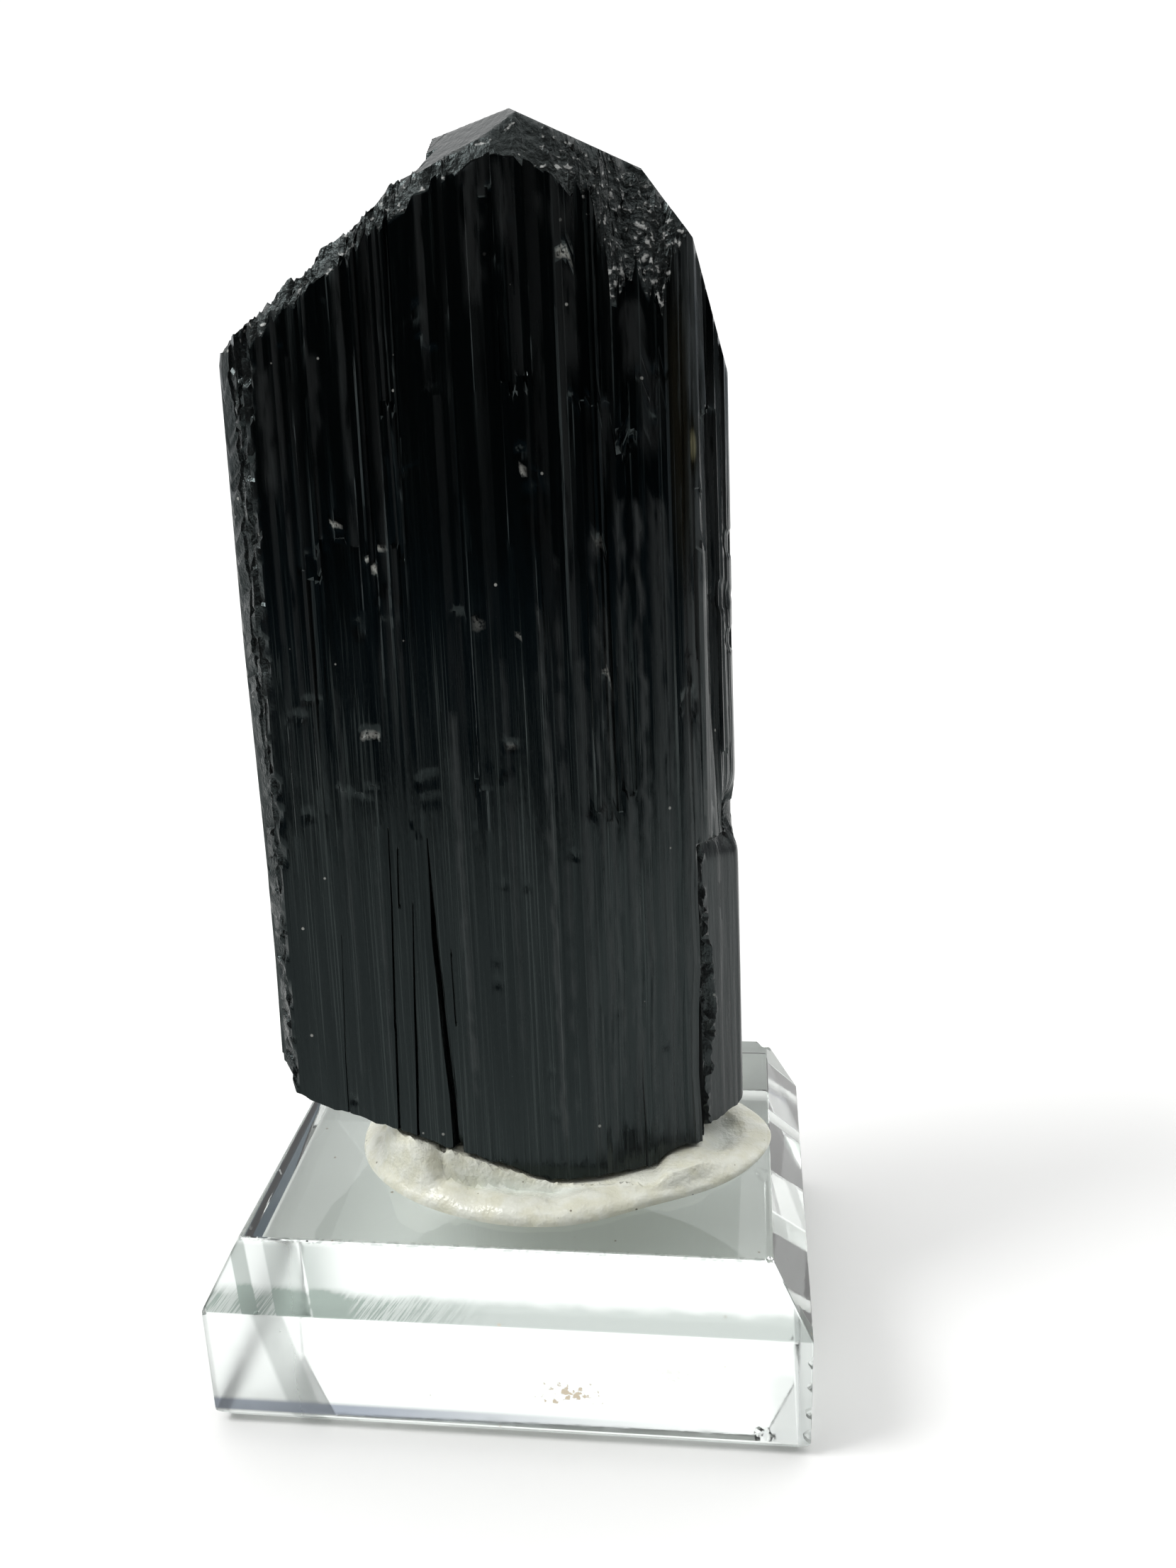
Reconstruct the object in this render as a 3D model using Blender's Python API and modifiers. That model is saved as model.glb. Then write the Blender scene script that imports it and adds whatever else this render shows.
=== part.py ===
"""A black tourmaline crystal, fixed by a mass of putty to a clear base with a bevelled top.

The origin is the centre of the base's underside. +X is to the right, +Y to the back, +Z up.
The crystal is modelled upright, its broad striated face at y = 0 and its long axis along z,
and then leans back a little on the putty.
"""

import math
import random

import bmesh
import bpy
from mathutils import Vector, noise

MM = 0.001

# Base: a clear block, 2 in wide and 1.5 in deep, with a steep bevel round its top
BASE_WIDTH = 50.0 * MM
BASE_DEPTH = 38.4 * MM
BASE_HEIGHT = 17.4 * MM
TOP_BEVEL_DROP = 6.2 * MM
TOP_BEVEL_SIDE_INSET = 3.25 * MM
TOP_BEVEL_FRONT_INSET = 1.8 * MM
FOOT_BEVEL_RISE = 1.1 * MM
FOOT_BEVEL_INSET = 0.9 * MM
BASE_EDGE_RADIUS = 0.25 * MM

# Crystal: where its axis meets the base, how it leans, and its main sizes
CRYSTAL_FOOT = (-0.1 * MM, -9.9 * MM, 17.26 * MM)
CRYSTAL_LEAN_BACK = math.radians(7.6)
CRYSTAL_LEAN_LEFT = math.radians(1.5)
CRYSTAL_BLANK_TOP = 92.0 * MM
CRYSTAL_BLANK_FOOT = -4.0 * MM

# Corners of the crystal's rounded three-sided section: x, y and corner radius in mm
SECTION_CORNERS = (
    (-18.8, 0.0, 0.5),
    (7.5, 0.0, 16.0),
    (17.0, 5.2, 5.0),
    (20.0, 12.5, 3.0),
    (14.5, 20.5, 4.0),
    (6.0, 25.0, 5.0),
    (-8.0, 25.4, 6.0),
    (-15.5, 17.0, 5.0),
    (-20.3, 7.0, 3.0),
    (-20.4, 1.9, 0.5),
)
ARC_STEP = math.radians(7.0)

# Striations: flat-topped ribs that run the crystal's whole length
RIB_WIDTH = (0.9 * MM, 2.3 * MM)
RIB_DEPTH_FLAT = 0.16 * MM
RIB_DEPTH_ROUND = 0.42 * MM
RIB_DRIFT = 0.07 * MM
RIB_FLANK = 0.12 * MM
ROUND_SIDE_START = 3.0 * MM
RIB_SEED = 11
RIB_DRIFT_LENGTH = 11.0 * MM
LOFT_HEIGHTS = (-4.0, 9.0, 19.0, 31.0, 40.0, 52.0, 62.0, 69.0, 77.0, 92.0)

# Flat faces of the tip: height in mm at a point (x, y), and the slopes along x and y
TIP_FACES = (
    ("front_left", (3.6, 7.0, 87.1), (0.289, 0.428)),
    ("right", (3.6, 7.0, 87.0), (-0.48, 0.0)),
    ("back", (3.6, 9.5, 87.9), (0.226, -0.464)),
    ("front", (1.9, 0.0, 84.2), (-0.13, 0.50)),
    ("front_right", (6.2, 0.0, 83.7), (-2.10, 1.90)),
    ("right_shoulder", (13.3, 8.0, 83.0), (-1.37, 0.0)),
    ("right_flank", (17.1, 8.0, 77.9), (-2.60, 0.0)),
)

# Broken corner at the upper left: a rough slope, bevelled along its front
BREAK_LEFT_EDGE = -19.5 * MM
BREAK_LEFT_HEIGHT = 70.7 * MM
BREAK_SLOPE = 0.75
BREAK_RISE_BACK = 0.10
BREAK_FRONT_BEVEL = 1.9 * MM
BREAK_FRONT_SLOPE = 0.85
BREAK_ROUGHNESS = 0.45 * MM
BREAK_LUMP = 2.2 * MM

# Broken foot: it rises to the left, and its lower left corner is rounded off
FOOT_LOW = 1.25 * MM
FOOT_LEVEL_START = 3.3 * MM
FOOT_LEFT_SLOPE = 0.34
FOOT_BACK_SLOPE = 0.14
FOOT_CORNER_START = -16.6 * MM
FOOT_CORNER_GAIN = 0.22
FOOT_CORNER_POWER = 1.6
FOOT_RIGHT_START = 18.9 * MM
FOOT_RIGHT_GAIN = 0.6
FOOT_STEP_PLACE = 12.2 * MM
FOOT_STEP_WIDTH = 0.8 * MM
FOOT_STEP = 0.8 * MM
FOOT_ROUGHNESS = 0.25 * MM
FOOT_LUMP = 1.9 * MM

# Grooves: lower end, upper end (x, z), their widths, and the depth, all in mm
GROOVES = (
    ("long_gash", (-4.9, 2.0), (-5.7, 31.0), 1.9, 0.25, 1.1),
    ("left_gash", (-9.4, 3.5), (-9.0, 25.5), 0.7, 0.35, 0.8),
    ("middle_gash", (-7.8, 3.0), (-7.1, 23.0), 0.65, 0.3, 0.8),
    ("short_gash", (-8.25, 26.2), (-8.15, 30.4), 0.35, 0.3, 0.6),
    ("thin_gash", (-3.7, 15.0), (-4.1, 21.5), 0.3, 0.3, 0.5),
    ("left_groove", (-14.6, 34.0), (-14.3, 62.0), 0.9, 0.6, 0.45),
    ("upper_groove", (4.6, 33.0), (4.2, 66.0), 0.5, 0.7, 0.4),
)

GROOVE_MOUTH_SPREAD = 1.3
GROOVE_FLOOR_SPREAD = 0.45
GROOVE_PROUD = 1.2

# Crack down the right side: points (x, y, z) and half width in mm; it ends in a notch
CRACK_POINTS = (
    (16.4, 5.0, 0.5, 0.45),
    (16.5, 5.0, 7.0, 0.35),
    (16.3, 5.0, 14.0, 0.55),
    (16.6, 5.0, 20.0, 0.40),
    (16.9, 5.0, 26.0, 0.55),
    (17.4, 5.5, 29.6, 0.30),
)
CRACK_DEPTH = 1.3 * MM
CRACK_PROUD = 2.0 * MM
CRACK_FACES = math.radians(-44.0)
CRACK_MOUTH_SPREAD = 1.8
CRACK_FLOOR_SPREAD = 0.5

# Pits and ledges: centre (x, y, z) and size in mm, and a turn about the y axis in degrees
CHIPS = (
    ("notch_right", (20.1, 10.0, 28.8), (1.9, 6.0, 3.4), 20.0),
    ("ledge_glitter", (12.2, 2.3, 74.9), (4.6, 1.9, 1.9), 8.0),
    ("ledge_right", (14.2, 3.5, 66.9), (2.4, 1.6, 1.1), 18.0),
    ("ledge_step", (-9.5, -0.1, 39.0), (2.3, 0.9, 1.5), -4.0),
    ("pit_upper", (7.5, -0.1, 76.0), (1.5, 1.1, 0.9), 10.0),
    ("pit_left", (-4.9, -0.1, 60.4), (1.2, 0.8, 1.0), 30.0),
    ("pit_right", (11.7, 2.2, 62.2), (1.1, 1.1, 1.3), 15.0),
    ("knob_gap", (-16.6, 0.2, 71.2), (0.9, 2.2, 2.2), 10.0),
)
CHIP_LUMP = 0.43
CHIP_SHAKE = 0.16

# Putty: a low mound with a rounded rim, a shallow trough and a lip pressed up to the crystal
PUTTY_CENTRE = (3.1 * MM, -1.2 * MM)
PUTTY_HALF_WIDTH = 18.2 * MM
PUTTY_FRONT_REACH = 13.5 * MM
PUTTY_BACK_REACH = 13.0 * MM
PUTTY_DENT_ANGLE = math.radians(-47.0)
PUTTY_DENT_SPREAD = math.radians(30.0)
PUTTY_DENT = 0.11
PUTTY_RIM_HEIGHT = 1.7 * MM
PUTTY_RIM_RADIUS = 1.9 * MM
PUTTY_TROUGH_HEIGHT = 1.2 * MM
PUTTY_TROUGH_START = 4.2 * MM
PUTTY_LIP_LEFT = -12.0 * MM
PUTTY_LIP_RIGHT = 19.0 * MM
PUTTY_LIP_AHEAD = 0.4 * MM
PUTTY_LIP_WALL = 1.0 * MM
PUTTY_THINNEST = 0.66 * MM
PUTTY_SEGMENTS = 52
PUTTY_RINGS = 24
CLEARANCE = 0.3 * MM
PUTTY_TO_CRYSTAL = 0.65 * MM


def clear_scene():
    for old in list(bpy.data.objects):
        bpy.data.objects.remove(old, do_unlink=True)


def new_collection(name):
    collection = bpy.data.collections.new(name)
    bpy.context.scene.collection.children.link(collection)
    return collection


def new_material(name, colour, roughness, transmission=0.0, ior=1.5):
    material = bpy.data.materials.new(name)
    material.use_nodes = True
    shader = material.node_tree.nodes["Principled BSDF"]
    shader.inputs["Base Color"].default_value = (*colour, 1.0)
    shader.inputs["Roughness"].default_value = roughness
    shader.inputs["Metallic"].default_value = 0.0
    shader.inputs["Transmission Weight"].default_value = transmission
    shader.inputs["IOR"].default_value = ior
    return material


def add_object(name, shape, collection, material=None):
    """Turn a bmesh into an object in the given collection."""
    bmesh.ops.recalc_face_normals(shape, faces=shape.faces)
    mesh = bpy.data.meshes.new(name)
    shape.to_mesh(mesh)
    shape.free()
    piece = bpy.data.objects.new(name, mesh)
    collection.objects.link(piece)
    if material:
        mesh.materials.append(material)
    return piece


def add_cutter(name, shape, collection, target):
    """A cutter is kept as a wire guide and taken out of the target by a Boolean."""
    cutter = add_object(name, shape, collection)
    cutter.hide_render = True
    cutter.display_type = "WIRE"
    cutter.parent = target
    cut = target.modifiers.new(name, "BOOLEAN")
    cut.operation = "DIFFERENCE"
    cut.solver = "EXACT"
    cut.object = cutter
    return cutter


# ---------------------------------------------------------------- base


def make_base(collection):
    """A box, drawn in and up to the top face, and drawn in and down to the foot."""
    body_height = BASE_HEIGHT - TOP_BEVEL_DROP - FOOT_BEVEL_RISE
    shape = bmesh.new()
    bmesh.ops.create_cube(shape, size=1.0)
    bmesh.ops.scale(shape, vec=(BASE_WIDTH, BASE_DEPTH, body_height), verts=shape.verts)
    lift = FOOT_BEVEL_RISE + body_height / 2
    bmesh.ops.translate(shape, vec=(0, 0, lift), verts=shape.verts)
    taper_face(shape, +1, TOP_BEVEL_DROP, TOP_BEVEL_SIDE_INSET, TOP_BEVEL_FRONT_INSET)
    taper_face(shape, -1, FOOT_BEVEL_RISE, FOOT_BEVEL_INSET, FOOT_BEVEL_INSET)
    material = new_material("clear_block", (0.86, 0.91, 0.88), 0.06, transmission=1.0, ior=1.49)
    base = add_object("display_base", shape, collection, material)
    bevel = base.modifiers.new("worn edges", "BEVEL")
    bevel.width = BASE_EDGE_RADIUS
    bevel.segments = 2
    bevel.limit_method = "ANGLE"
    bevel.angle_limit = math.radians(10.0)
    return base


def taper_face(shape, side, rise, inset_x, inset_y):
    """Extrude the top (+1) or bottom (-1) face and draw its edges in."""
    face = max(shape.faces, key=lambda each: side * each.calc_center_median().z)
    made = bmesh.ops.extrude_face_region(shape, geom=[face])
    bmesh.ops.delete(shape, geom=[face], context="FACES_ONLY")
    verts = [item for item in made["geom"] if isinstance(item, bmesh.types.BMVert)]
    bmesh.ops.translate(shape, vec=(0, 0, side * rise), verts=verts)
    factor = (1 - 2 * inset_x / BASE_WIDTH, 1 - 2 * inset_y / BASE_DEPTH, 1.0)
    bmesh.ops.scale(shape, vec=factor, verts=verts)


# ---------------------------------------------------------------- crystal blank


def section_outline():
    """The section's corners joined by straight sides and round arcs, in metres."""
    points = []
    count = len(SECTION_CORNERS)
    for index, (x, y, radius) in enumerate(SECTION_CORNERS):
        corner = Vector((x, y))
        before = Vector(SECTION_CORNERS[index - 1][:2]) - corner
        after = Vector(SECTION_CORNERS[(index + 1) % count][:2]) - corner
        before.normalize()
        after.normalize()
        turn = math.pi - before.angle(after)
        reach = radius * math.tan(turn / 2)
        start = corner + before * reach
        centre = corner + (before + after).normalized() * radius / math.cos(turn / 2)
        steps = max(1, round(turn / ARC_STEP))
        arm = start - centre
        for step in range(steps + 1):
            angle = turn * step / steps
            points.append((centre + turned(arm, angle)) * MM)
    return points


def turned(vector, angle):
    cosine = math.cos(angle)
    sine = math.sin(angle)
    return Vector((vector.x * cosine - vector.y * sine, vector.x * sine + vector.y * cosine))


def point_along(outline, distance):
    """The point and outward normal at a distance along the closed outline."""
    for start, end in zip(outline, outline[1:] + outline[:1]):
        length = (end - start).length
        if distance <= length and length > 0:
            direction = (end - start) / length
            normal = Vector((direction.y, -direction.x))
            return start + direction * distance, normal
        distance -= length
    return outline[0], Vector((0.0, -1.0))


def rib_edges(outline):
    """Two points for each rib: where it starts and ends, and how deep it lies."""
    draw = random.Random(RIB_SEED)
    perimeter = sum((b - a).length for a, b in zip(outline, outline[1:] + outline[:1]))
    edges = []
    distance = 0.0
    while distance < perimeter - RIB_WIDTH[0]:
        width = draw.uniform(*RIB_WIDTH)
        middle, _ = point_along(outline, distance + width / 2)
        on_flat = middle.y < MM and middle.x < ROUND_SIDE_START
        depth = draw.random() * (RIB_DEPTH_FLAT if on_flat else RIB_DEPTH_ROUND)
        last = min(distance + width, perimeter) - RIB_FLANK
        edges.append((distance, depth))
        edges.append((last, depth))
        distance += width
    return edges


def make_crystal(collection, cutters):
    outline = section_outline()
    edges = rib_edges(outline)
    shape = bmesh.new()
    ring = [shape.verts.new((0.0, 0.0, 0.0)) for _ in edges]
    place_ring(ring, outline, edges, LOFT_HEIGHTS[0] * MM)
    top = shape.faces.new(ring)
    shape.faces.new([shape.verts.new(vert.co) for vert in reversed(ring)])
    for height in LOFT_HEIGHTS[1:]:
        made = bmesh.ops.extrude_face_region(shape, geom=[top])
        bmesh.ops.delete(shape, geom=[top], context="FACES_ONLY")
        top = next(item for item in made["geom"] if isinstance(item, bmesh.types.BMFace))
        place_ring(list(top.verts), outline, edges, height * MM)
    bmesh.ops.remove_doubles(shape, verts=shape.verts, dist=0.001 * MM)
    for _, point, slopes in TIP_FACES:
        cut_tip(shape, point, slopes)
    bmesh.ops.remove_doubles(shape, verts=shape.verts, dist=0.02 * MM)
    bmesh.ops.dissolve_degenerate(shape, edges=shape.edges, dist=0.02 * MM)
    material = new_material("black_tourmaline", (0.012, 0.014, 0.014), 0.22, ior=1.64)
    crystal = add_object("tourmaline_crystal", shape, collection, material)
    crystal.location = CRYSTAL_FOOT
    crystal.rotation_euler = (-CRYSTAL_LEAN_BACK, -CRYSTAL_LEAN_LEFT, 0.0)
    for name, low, high, low_width, high_width, depth in GROOVES:
        add_cutter("cut_" + name, groove_block(low, high, low_width, high_width, depth), cutters, crystal)
    add_cutter("cut_right_crack", crack_block(), cutters, crystal)
    for seed, (name, centre, size, turn) in enumerate(CHIPS):
        add_cutter("cut_" + name, chip_block(centre, size, turn, seed), cutters, crystal)
    add_cutter("cut_upper_left_break", break_block(), cutters, crystal)
    add_cutter("cut_foot", foot_block(), cutters, crystal)
    return crystal


def place_ring(ring, outline, edges, height):
    """Set one ring of the blank: each rib drifts in or out a little as it climbs."""
    for index, (vert, (distance, depth)) in enumerate(zip(ring, edges)):
        point, normal = point_along(outline, distance)
        rib = index // 2
        drift = noise.noise(Vector((rib * 3.7, height / RIB_DRIFT_LENGTH, 2.5))) * RIB_DRIFT
        inward = max(0.0, depth + drift)
        vert.co = (point.x - normal.x * inward, point.y - normal.y * inward, height)


def cut_tip(shape, point, slopes):
    """Slice off everything above the face through the point with the given slopes."""
    normal = Vector((-slopes[0], -slopes[1], 1.0))
    geometry = shape.verts[:] + shape.edges[:] + shape.faces[:]
    cut = bmesh.ops.bisect_plane(
        shape,
        geom=geometry,
        dist=0.001 * MM,
        plane_co=Vector(point) * MM,
        plane_no=normal.normalized(),
        clear_outer=True,
    )
    rim = [item for item in cut["geom_cut"] if isinstance(item, bmesh.types.BMEdge)]
    bmesh.ops.contextual_create(shape, geom=rim)


# ---------------------------------------------------------------- crystal cutters


def break_height(x, y):
    """The rough slope that took the crystal's upper left corner off."""
    height = BREAK_LEFT_HEIGHT + BREAK_SLOPE * (x - BREAK_LEFT_EDGE) + BREAK_RISE_BACK * y
    height -= BREAK_FRONT_SLOPE * max(0.0, BREAK_FRONT_BEVEL - y)
    place = Vector((x / BREAK_LUMP, y / BREAK_LUMP, 5.0))
    return height + noise.noise(place) * BREAK_ROUGHNESS


def foot_height(x, y):
    """The crystal's broken underside, without its fine roughness."""
    height = FOOT_LOW + FOOT_BACK_SLOPE * y
    height += FOOT_LEFT_SLOPE * max(0.0, FOOT_LEVEL_START - x)
    corner = max(0.0, FOOT_CORNER_START - x) / MM
    height += FOOT_CORNER_GAIN * corner**FOOT_CORNER_POWER * MM
    height += FOOT_RIGHT_GAIN * max(0.0, x - FOOT_RIGHT_START)
    height += FOOT_STEP * min(1.0, max(0.0, (x - FOOT_STEP_PLACE) / FOOT_STEP_WIDTH))
    return height


def rough_foot_height(x, y):
    place = Vector((x / FOOT_LUMP, y / FOOT_LUMP, 9.0))
    return foot_height(x, y) + noise.noise(place) * FOOT_ROUGHNESS


def sheet_block(x_range, y_range, cells, surface, far_height):
    """A block whose one side follows a height function, the other flat at far_height."""
    shape = bmesh.new()
    bmesh.ops.create_grid(shape, x_segments=cells[0], y_segments=cells[1], size=1.0)
    for vert in shape.verts:
        x = x_range[0] + (x_range[1] - x_range[0]) * (vert.co.x + 1) / 2
        y = y_range[0] + (y_range[1] - y_range[0]) * (vert.co.y + 1) / 2
        vert.co = (x, y, surface(x, y))
    made = bmesh.ops.extrude_face_region(shape, geom=shape.faces[:])
    for item in made["geom"]:
        if isinstance(item, bmesh.types.BMVert):
            item.co.z = far_height
    return shape


def break_block():
    x_range = (-23.0 * MM, 1.0 * MM)
    y_range = (-3.0 * MM, 29.0 * MM)
    return sheet_block(x_range, y_range, (15, 18), break_height, CRYSTAL_BLANK_TOP + 4 * MM)


def foot_block():
    x_range = (-23.0 * MM, 23.0 * MM)
    y_range = (-3.0 * MM, 29.0 * MM)
    return sheet_block(x_range, y_range, (24, 16), rough_foot_height, CRYSTAL_BLANK_FOOT - 4 * MM)


def groove_block(low, high, low_width, high_width, depth):
    """A four-sided bar that lies along the front face and narrows upwards."""
    shape = bmesh.new()
    bmesh.ops.create_cube(shape, size=1.0)
    for vert in shape.verts:
        x, z = high if vert.co.z > 0 else low
        width = high_width if vert.co.z > 0 else low_width
        inside = vert.co.y > 0
        spread = width * (GROOVE_FLOOR_SPREAD if inside else GROOVE_MOUTH_SPREAD)
        y = depth if inside else -GROOVE_PROUD
        vert.co = Vector((x + vert.co.x * spread, y, z)) * MM
    return shape


def crack_block():
    """A ragged slot down the right side, drawn through the crack's points."""
    shape = bmesh.new()
    side = Vector((math.cos(CRACK_FACES), math.sin(CRACK_FACES), 0.0))
    across = Vector((-side.y, side.x, 0.0))
    rows = []
    for x, y, z, half_width in CRACK_POINTS:
        skin = Vector((x, y, z)) * MM
        mouth = skin + side * CRACK_PROUD
        floor = skin - side * CRACK_DEPTH
        wide = across * half_width * MM * CRACK_MOUTH_SPREAD
        narrow = across * half_width * MM * CRACK_FLOOR_SPREAD
        corners = (mouth - wide, mouth + wide, floor + narrow, floor - narrow)
        rows.append([shape.verts.new(corner) for corner in corners])
    shape.faces.new(rows[0])
    shape.faces.new(rows[-1])
    for lower, upper in zip(rows, rows[1:]):
        for index in range(4):
            after = (index + 1) % 4
            shape.faces.new((lower[index], lower[after], upper[after], upper[index]))
    return shape


def chip_block(centre, size, turn, seed):
    """A lumpy block for one broken-out chip."""
    shape = bmesh.new()
    bmesh.ops.create_cube(shape, size=1.0)
    bmesh.ops.subdivide_edges(shape, edges=shape.edges[:], cuts=1, use_grid_fill=True)
    angle = math.radians(turn)
    for vert in shape.verts:
        shake = noise.noise_vector(vert.co / CHIP_LUMP + Vector((seed * 4.1, 1.3, 0.7))) * CHIP_SHAKE
        local = Vector((vert.co[i] + shake[i] for i in range(3)))
        local = Vector((local[i] * size[i] for i in range(3)))
        x = local.x * math.cos(angle) + local.z * math.sin(angle)
        z = local.z * math.cos(angle) - local.x * math.sin(angle)
        vert.co = (Vector(centre) + Vector((x, local.y, z))) * MM
    return shape


# ---------------------------------------------------------------- putty


def putty_reach(angle):
    """How far the mound spreads from its centre in one direction."""
    depth = PUTTY_FRONT_REACH if math.sin(angle) < 0 else PUTTY_BACK_REACH
    reach = 1.0 / math.hypot(math.cos(angle) / PUTTY_HALF_WIDTH, math.sin(angle) / depth)
    off = (angle - PUTTY_DENT_ANGLE) / PUTTY_DENT_SPREAD
    return reach * (1.0 - PUTTY_DENT * math.exp(-off * off))


def crystal_foot_above(x, y):
    """Local x and y under the crystal's foot for a point of the base, and the foot's height there."""
    height = 0.0
    for _ in range(4):
        local_x = x - CRYSTAL_FOOT[0] + math.sin(CRYSTAL_LEAN_LEFT) * height
        local_y = (y - CRYSTAL_FOOT[1] - math.sin(CRYSTAL_LEAN_BACK) * height) / math.cos(CRYSTAL_LEAN_BACK)
        height = foot_height(local_x, local_y)
    z = CRYSTAL_FOOT[2] + height * math.cos(CRYSTAL_LEAN_BACK)
    z += local_x * math.sin(CRYSTAL_LEAN_LEFT) - local_y * math.sin(CRYSTAL_LEAN_BACK)
    return local_x, local_y, z


def putty_top(x, y, edge_distance):
    """Rim, trough and lip, kept under the crystal's foot."""
    rise = min(1.0, edge_distance / PUTTY_RIM_RADIUS)
    rim = PUTTY_RIM_HEIGHT * math.sqrt(max(0.0, 1.0 - (1.0 - rise) ** 2))
    fade = min(1.0, max(0.0, (edge_distance - PUTTY_RIM_RADIUS) / (PUTTY_TROUGH_START - PUTTY_RIM_RADIUS)))
    height = rim + (PUTTY_TROUGH_HEIGHT - PUTTY_RIM_HEIGHT) * fade * fade * (3 - 2 * fade)
    local_x, local_y, foot = crystal_foot_above(x, y)
    under = foot - PUTTY_TO_CRYSTAL - BASE_HEIGHT
    from_sides = min(local_x - PUTTY_LIP_LEFT, PUTTY_LIP_RIGHT - local_x)
    inside = min(local_y + PUTTY_LIP_AHEAD, from_sides, edge_distance - PUTTY_RIM_RADIUS)
    press = min(1.0, max(0.0, inside / PUTTY_LIP_WALL))
    height = max(height, height + (under - height) * press)
    return BASE_HEIGHT + max(PUTTY_THINNEST, min(height, under))


def make_putty(collection):
    """A ball primitive whose rings are laid out as the mound's underside, rim and top."""
    shape = bmesh.new()
    bmesh.ops.create_uvsphere(shape, u_segments=PUTTY_SEGMENTS, v_segments=PUTTY_RINGS, radius=1.0)
    for vert in shape.verts:
        latitude = math.asin(max(-1.0, min(1.0, vert.co.z)))
        angle = math.atan2(vert.co.y, vert.co.x)
        inward = 1.0 - abs(latitude) / (math.pi / 2)
        reach = putty_reach(angle)
        distance = reach * inward
        x = PUTTY_CENTRE[0] + distance * math.cos(angle)
        y = PUTTY_CENTRE[1] + distance * math.sin(angle)
        underside = vert.co.z < -0.01
        height = BASE_HEIGHT + CLEARANCE if underside else putty_top(x, y, reach - distance)
        vert.co = (x, y, height)
    material = new_material("milky_putty", (0.78, 0.77, 0.68), 0.35)
    return add_object("mounting_putty", shape, collection, material)


def main():
    clear_scene()
    parts = new_collection("tourmaline_specimen")
    cutters = new_collection("cutters")
    make_base(parts)
    make_putty(parts)
    make_crystal(parts, cutters)
    bpy.context.view_layer.update()


main()
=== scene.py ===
# %% [markdown]
# # A black tourmaline crystal on a clear display base
#
# The specimen has three pieces. A heavy black prism, about 85 mm long, stands in a ring of
# pale putty, and the putty sticks to a clear block with a bevelled top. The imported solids
# set the sizes and places, and this file makes each piece again there, with its fine shape
# and its finish.

import math
import random

import bpy
import numpy as np
from mathutils import Matrix, Vector, noise


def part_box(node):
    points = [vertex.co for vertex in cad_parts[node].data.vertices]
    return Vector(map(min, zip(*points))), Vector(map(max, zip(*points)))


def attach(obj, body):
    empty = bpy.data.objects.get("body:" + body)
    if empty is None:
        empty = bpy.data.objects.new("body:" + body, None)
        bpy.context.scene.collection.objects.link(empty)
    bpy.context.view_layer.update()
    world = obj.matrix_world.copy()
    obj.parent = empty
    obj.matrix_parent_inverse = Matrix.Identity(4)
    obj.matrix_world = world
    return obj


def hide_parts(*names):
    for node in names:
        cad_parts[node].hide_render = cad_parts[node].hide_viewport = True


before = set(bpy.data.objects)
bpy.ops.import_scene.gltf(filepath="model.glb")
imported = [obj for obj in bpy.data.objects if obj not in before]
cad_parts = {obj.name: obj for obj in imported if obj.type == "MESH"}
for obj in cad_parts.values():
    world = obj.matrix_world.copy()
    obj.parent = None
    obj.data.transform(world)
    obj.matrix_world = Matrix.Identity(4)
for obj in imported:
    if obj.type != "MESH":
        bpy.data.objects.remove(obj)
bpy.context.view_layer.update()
print("solids:", sorted(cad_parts))

# %% Units and small helpers
MM = 0.001


def deselect_all():
    """Operators act on whatever is selected, so each step starts with nothing selected."""
    if bpy.context.object and bpy.context.object.mode != "OBJECT":
        bpy.ops.object.mode_set(mode="OBJECT")
    bpy.ops.object.select_all(action="DESELECT")


def make_active(piece):
    deselect_all()
    piece.select_set(True)
    bpy.context.view_layer.objects.active = piece


def apply_place(piece):
    """Move the object's place into its mesh, so its origin is the frame's origin."""
    make_active(piece)
    bpy.ops.object.transform_apply(location=True, rotation=True, scale=True)


def apply_modifiers(piece):
    make_active(piece)
    for modifier in list(piece.modifiers):
        bpy.ops.object.modifier_apply(modifier=modifier.name)


def count_triangles(piece):
    piece.data.calc_loop_triangles()
    return len(piece.data.loop_triangles)


def between(low, high, value):
    """0 below low, 1 above high, and a soft rise between them."""
    part = np.clip((value - low) / (high - low), 0.0, 1.0)
    return part * part * (3 - 2 * part)


def span(value, start, full, end, gone):
    """A soft rise from start to full, 1 as far as end, and a soft fall to 0 at gone."""
    return between(start, full, value) * (1 - between(end, gone, value))


def swell(value, middle, reach):
    """A bell-shaped rise to 1 at the middle."""
    return np.exp(-(((value - middle) / reach) ** 2))


def lumps(points, size, seed=0.0):
    """Smooth noise, -1 to 1, at each row of points; size is the width of one lump."""
    shift = Vector((seed * 7.3, seed * 3.1, seed * 1.7))
    return np.array([noise.noise(Vector(point) / size + shift) for point in points])


def points_of(piece):
    """The points of a mesh as rows."""
    points = np.empty(len(piece.data.vertices) * 3)
    piece.data.vertices.foreach_get("co", points)
    return points.reshape(-1, 3)


def place_points(piece, points):
    """Move the points to new places, given in millimetres."""
    piece.data.vertices.foreach_set("co", (points * MM).ravel())
    piece.data.update()


def paint(piece, name, *channels):
    """Keep four masks at each point as one colour attribute."""
    attribute = piece.data.attributes.new(name, "FLOAT_COLOR", "POINT")
    attribute.data.foreach_set("color", np.stack(channels, axis=1).ravel())


def give_material(piece, material):
    piece.data.materials.clear()
    piece.data.materials.append(material)


# %% Node helpers
def new_material(name):
    """A material with an empty Principled shader, its node tree and that shader."""
    material = bpy.data.materials.new(name)
    material.use_nodes = True
    return material, material.node_tree, material.node_tree.nodes["Principled BSDF"]


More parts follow.
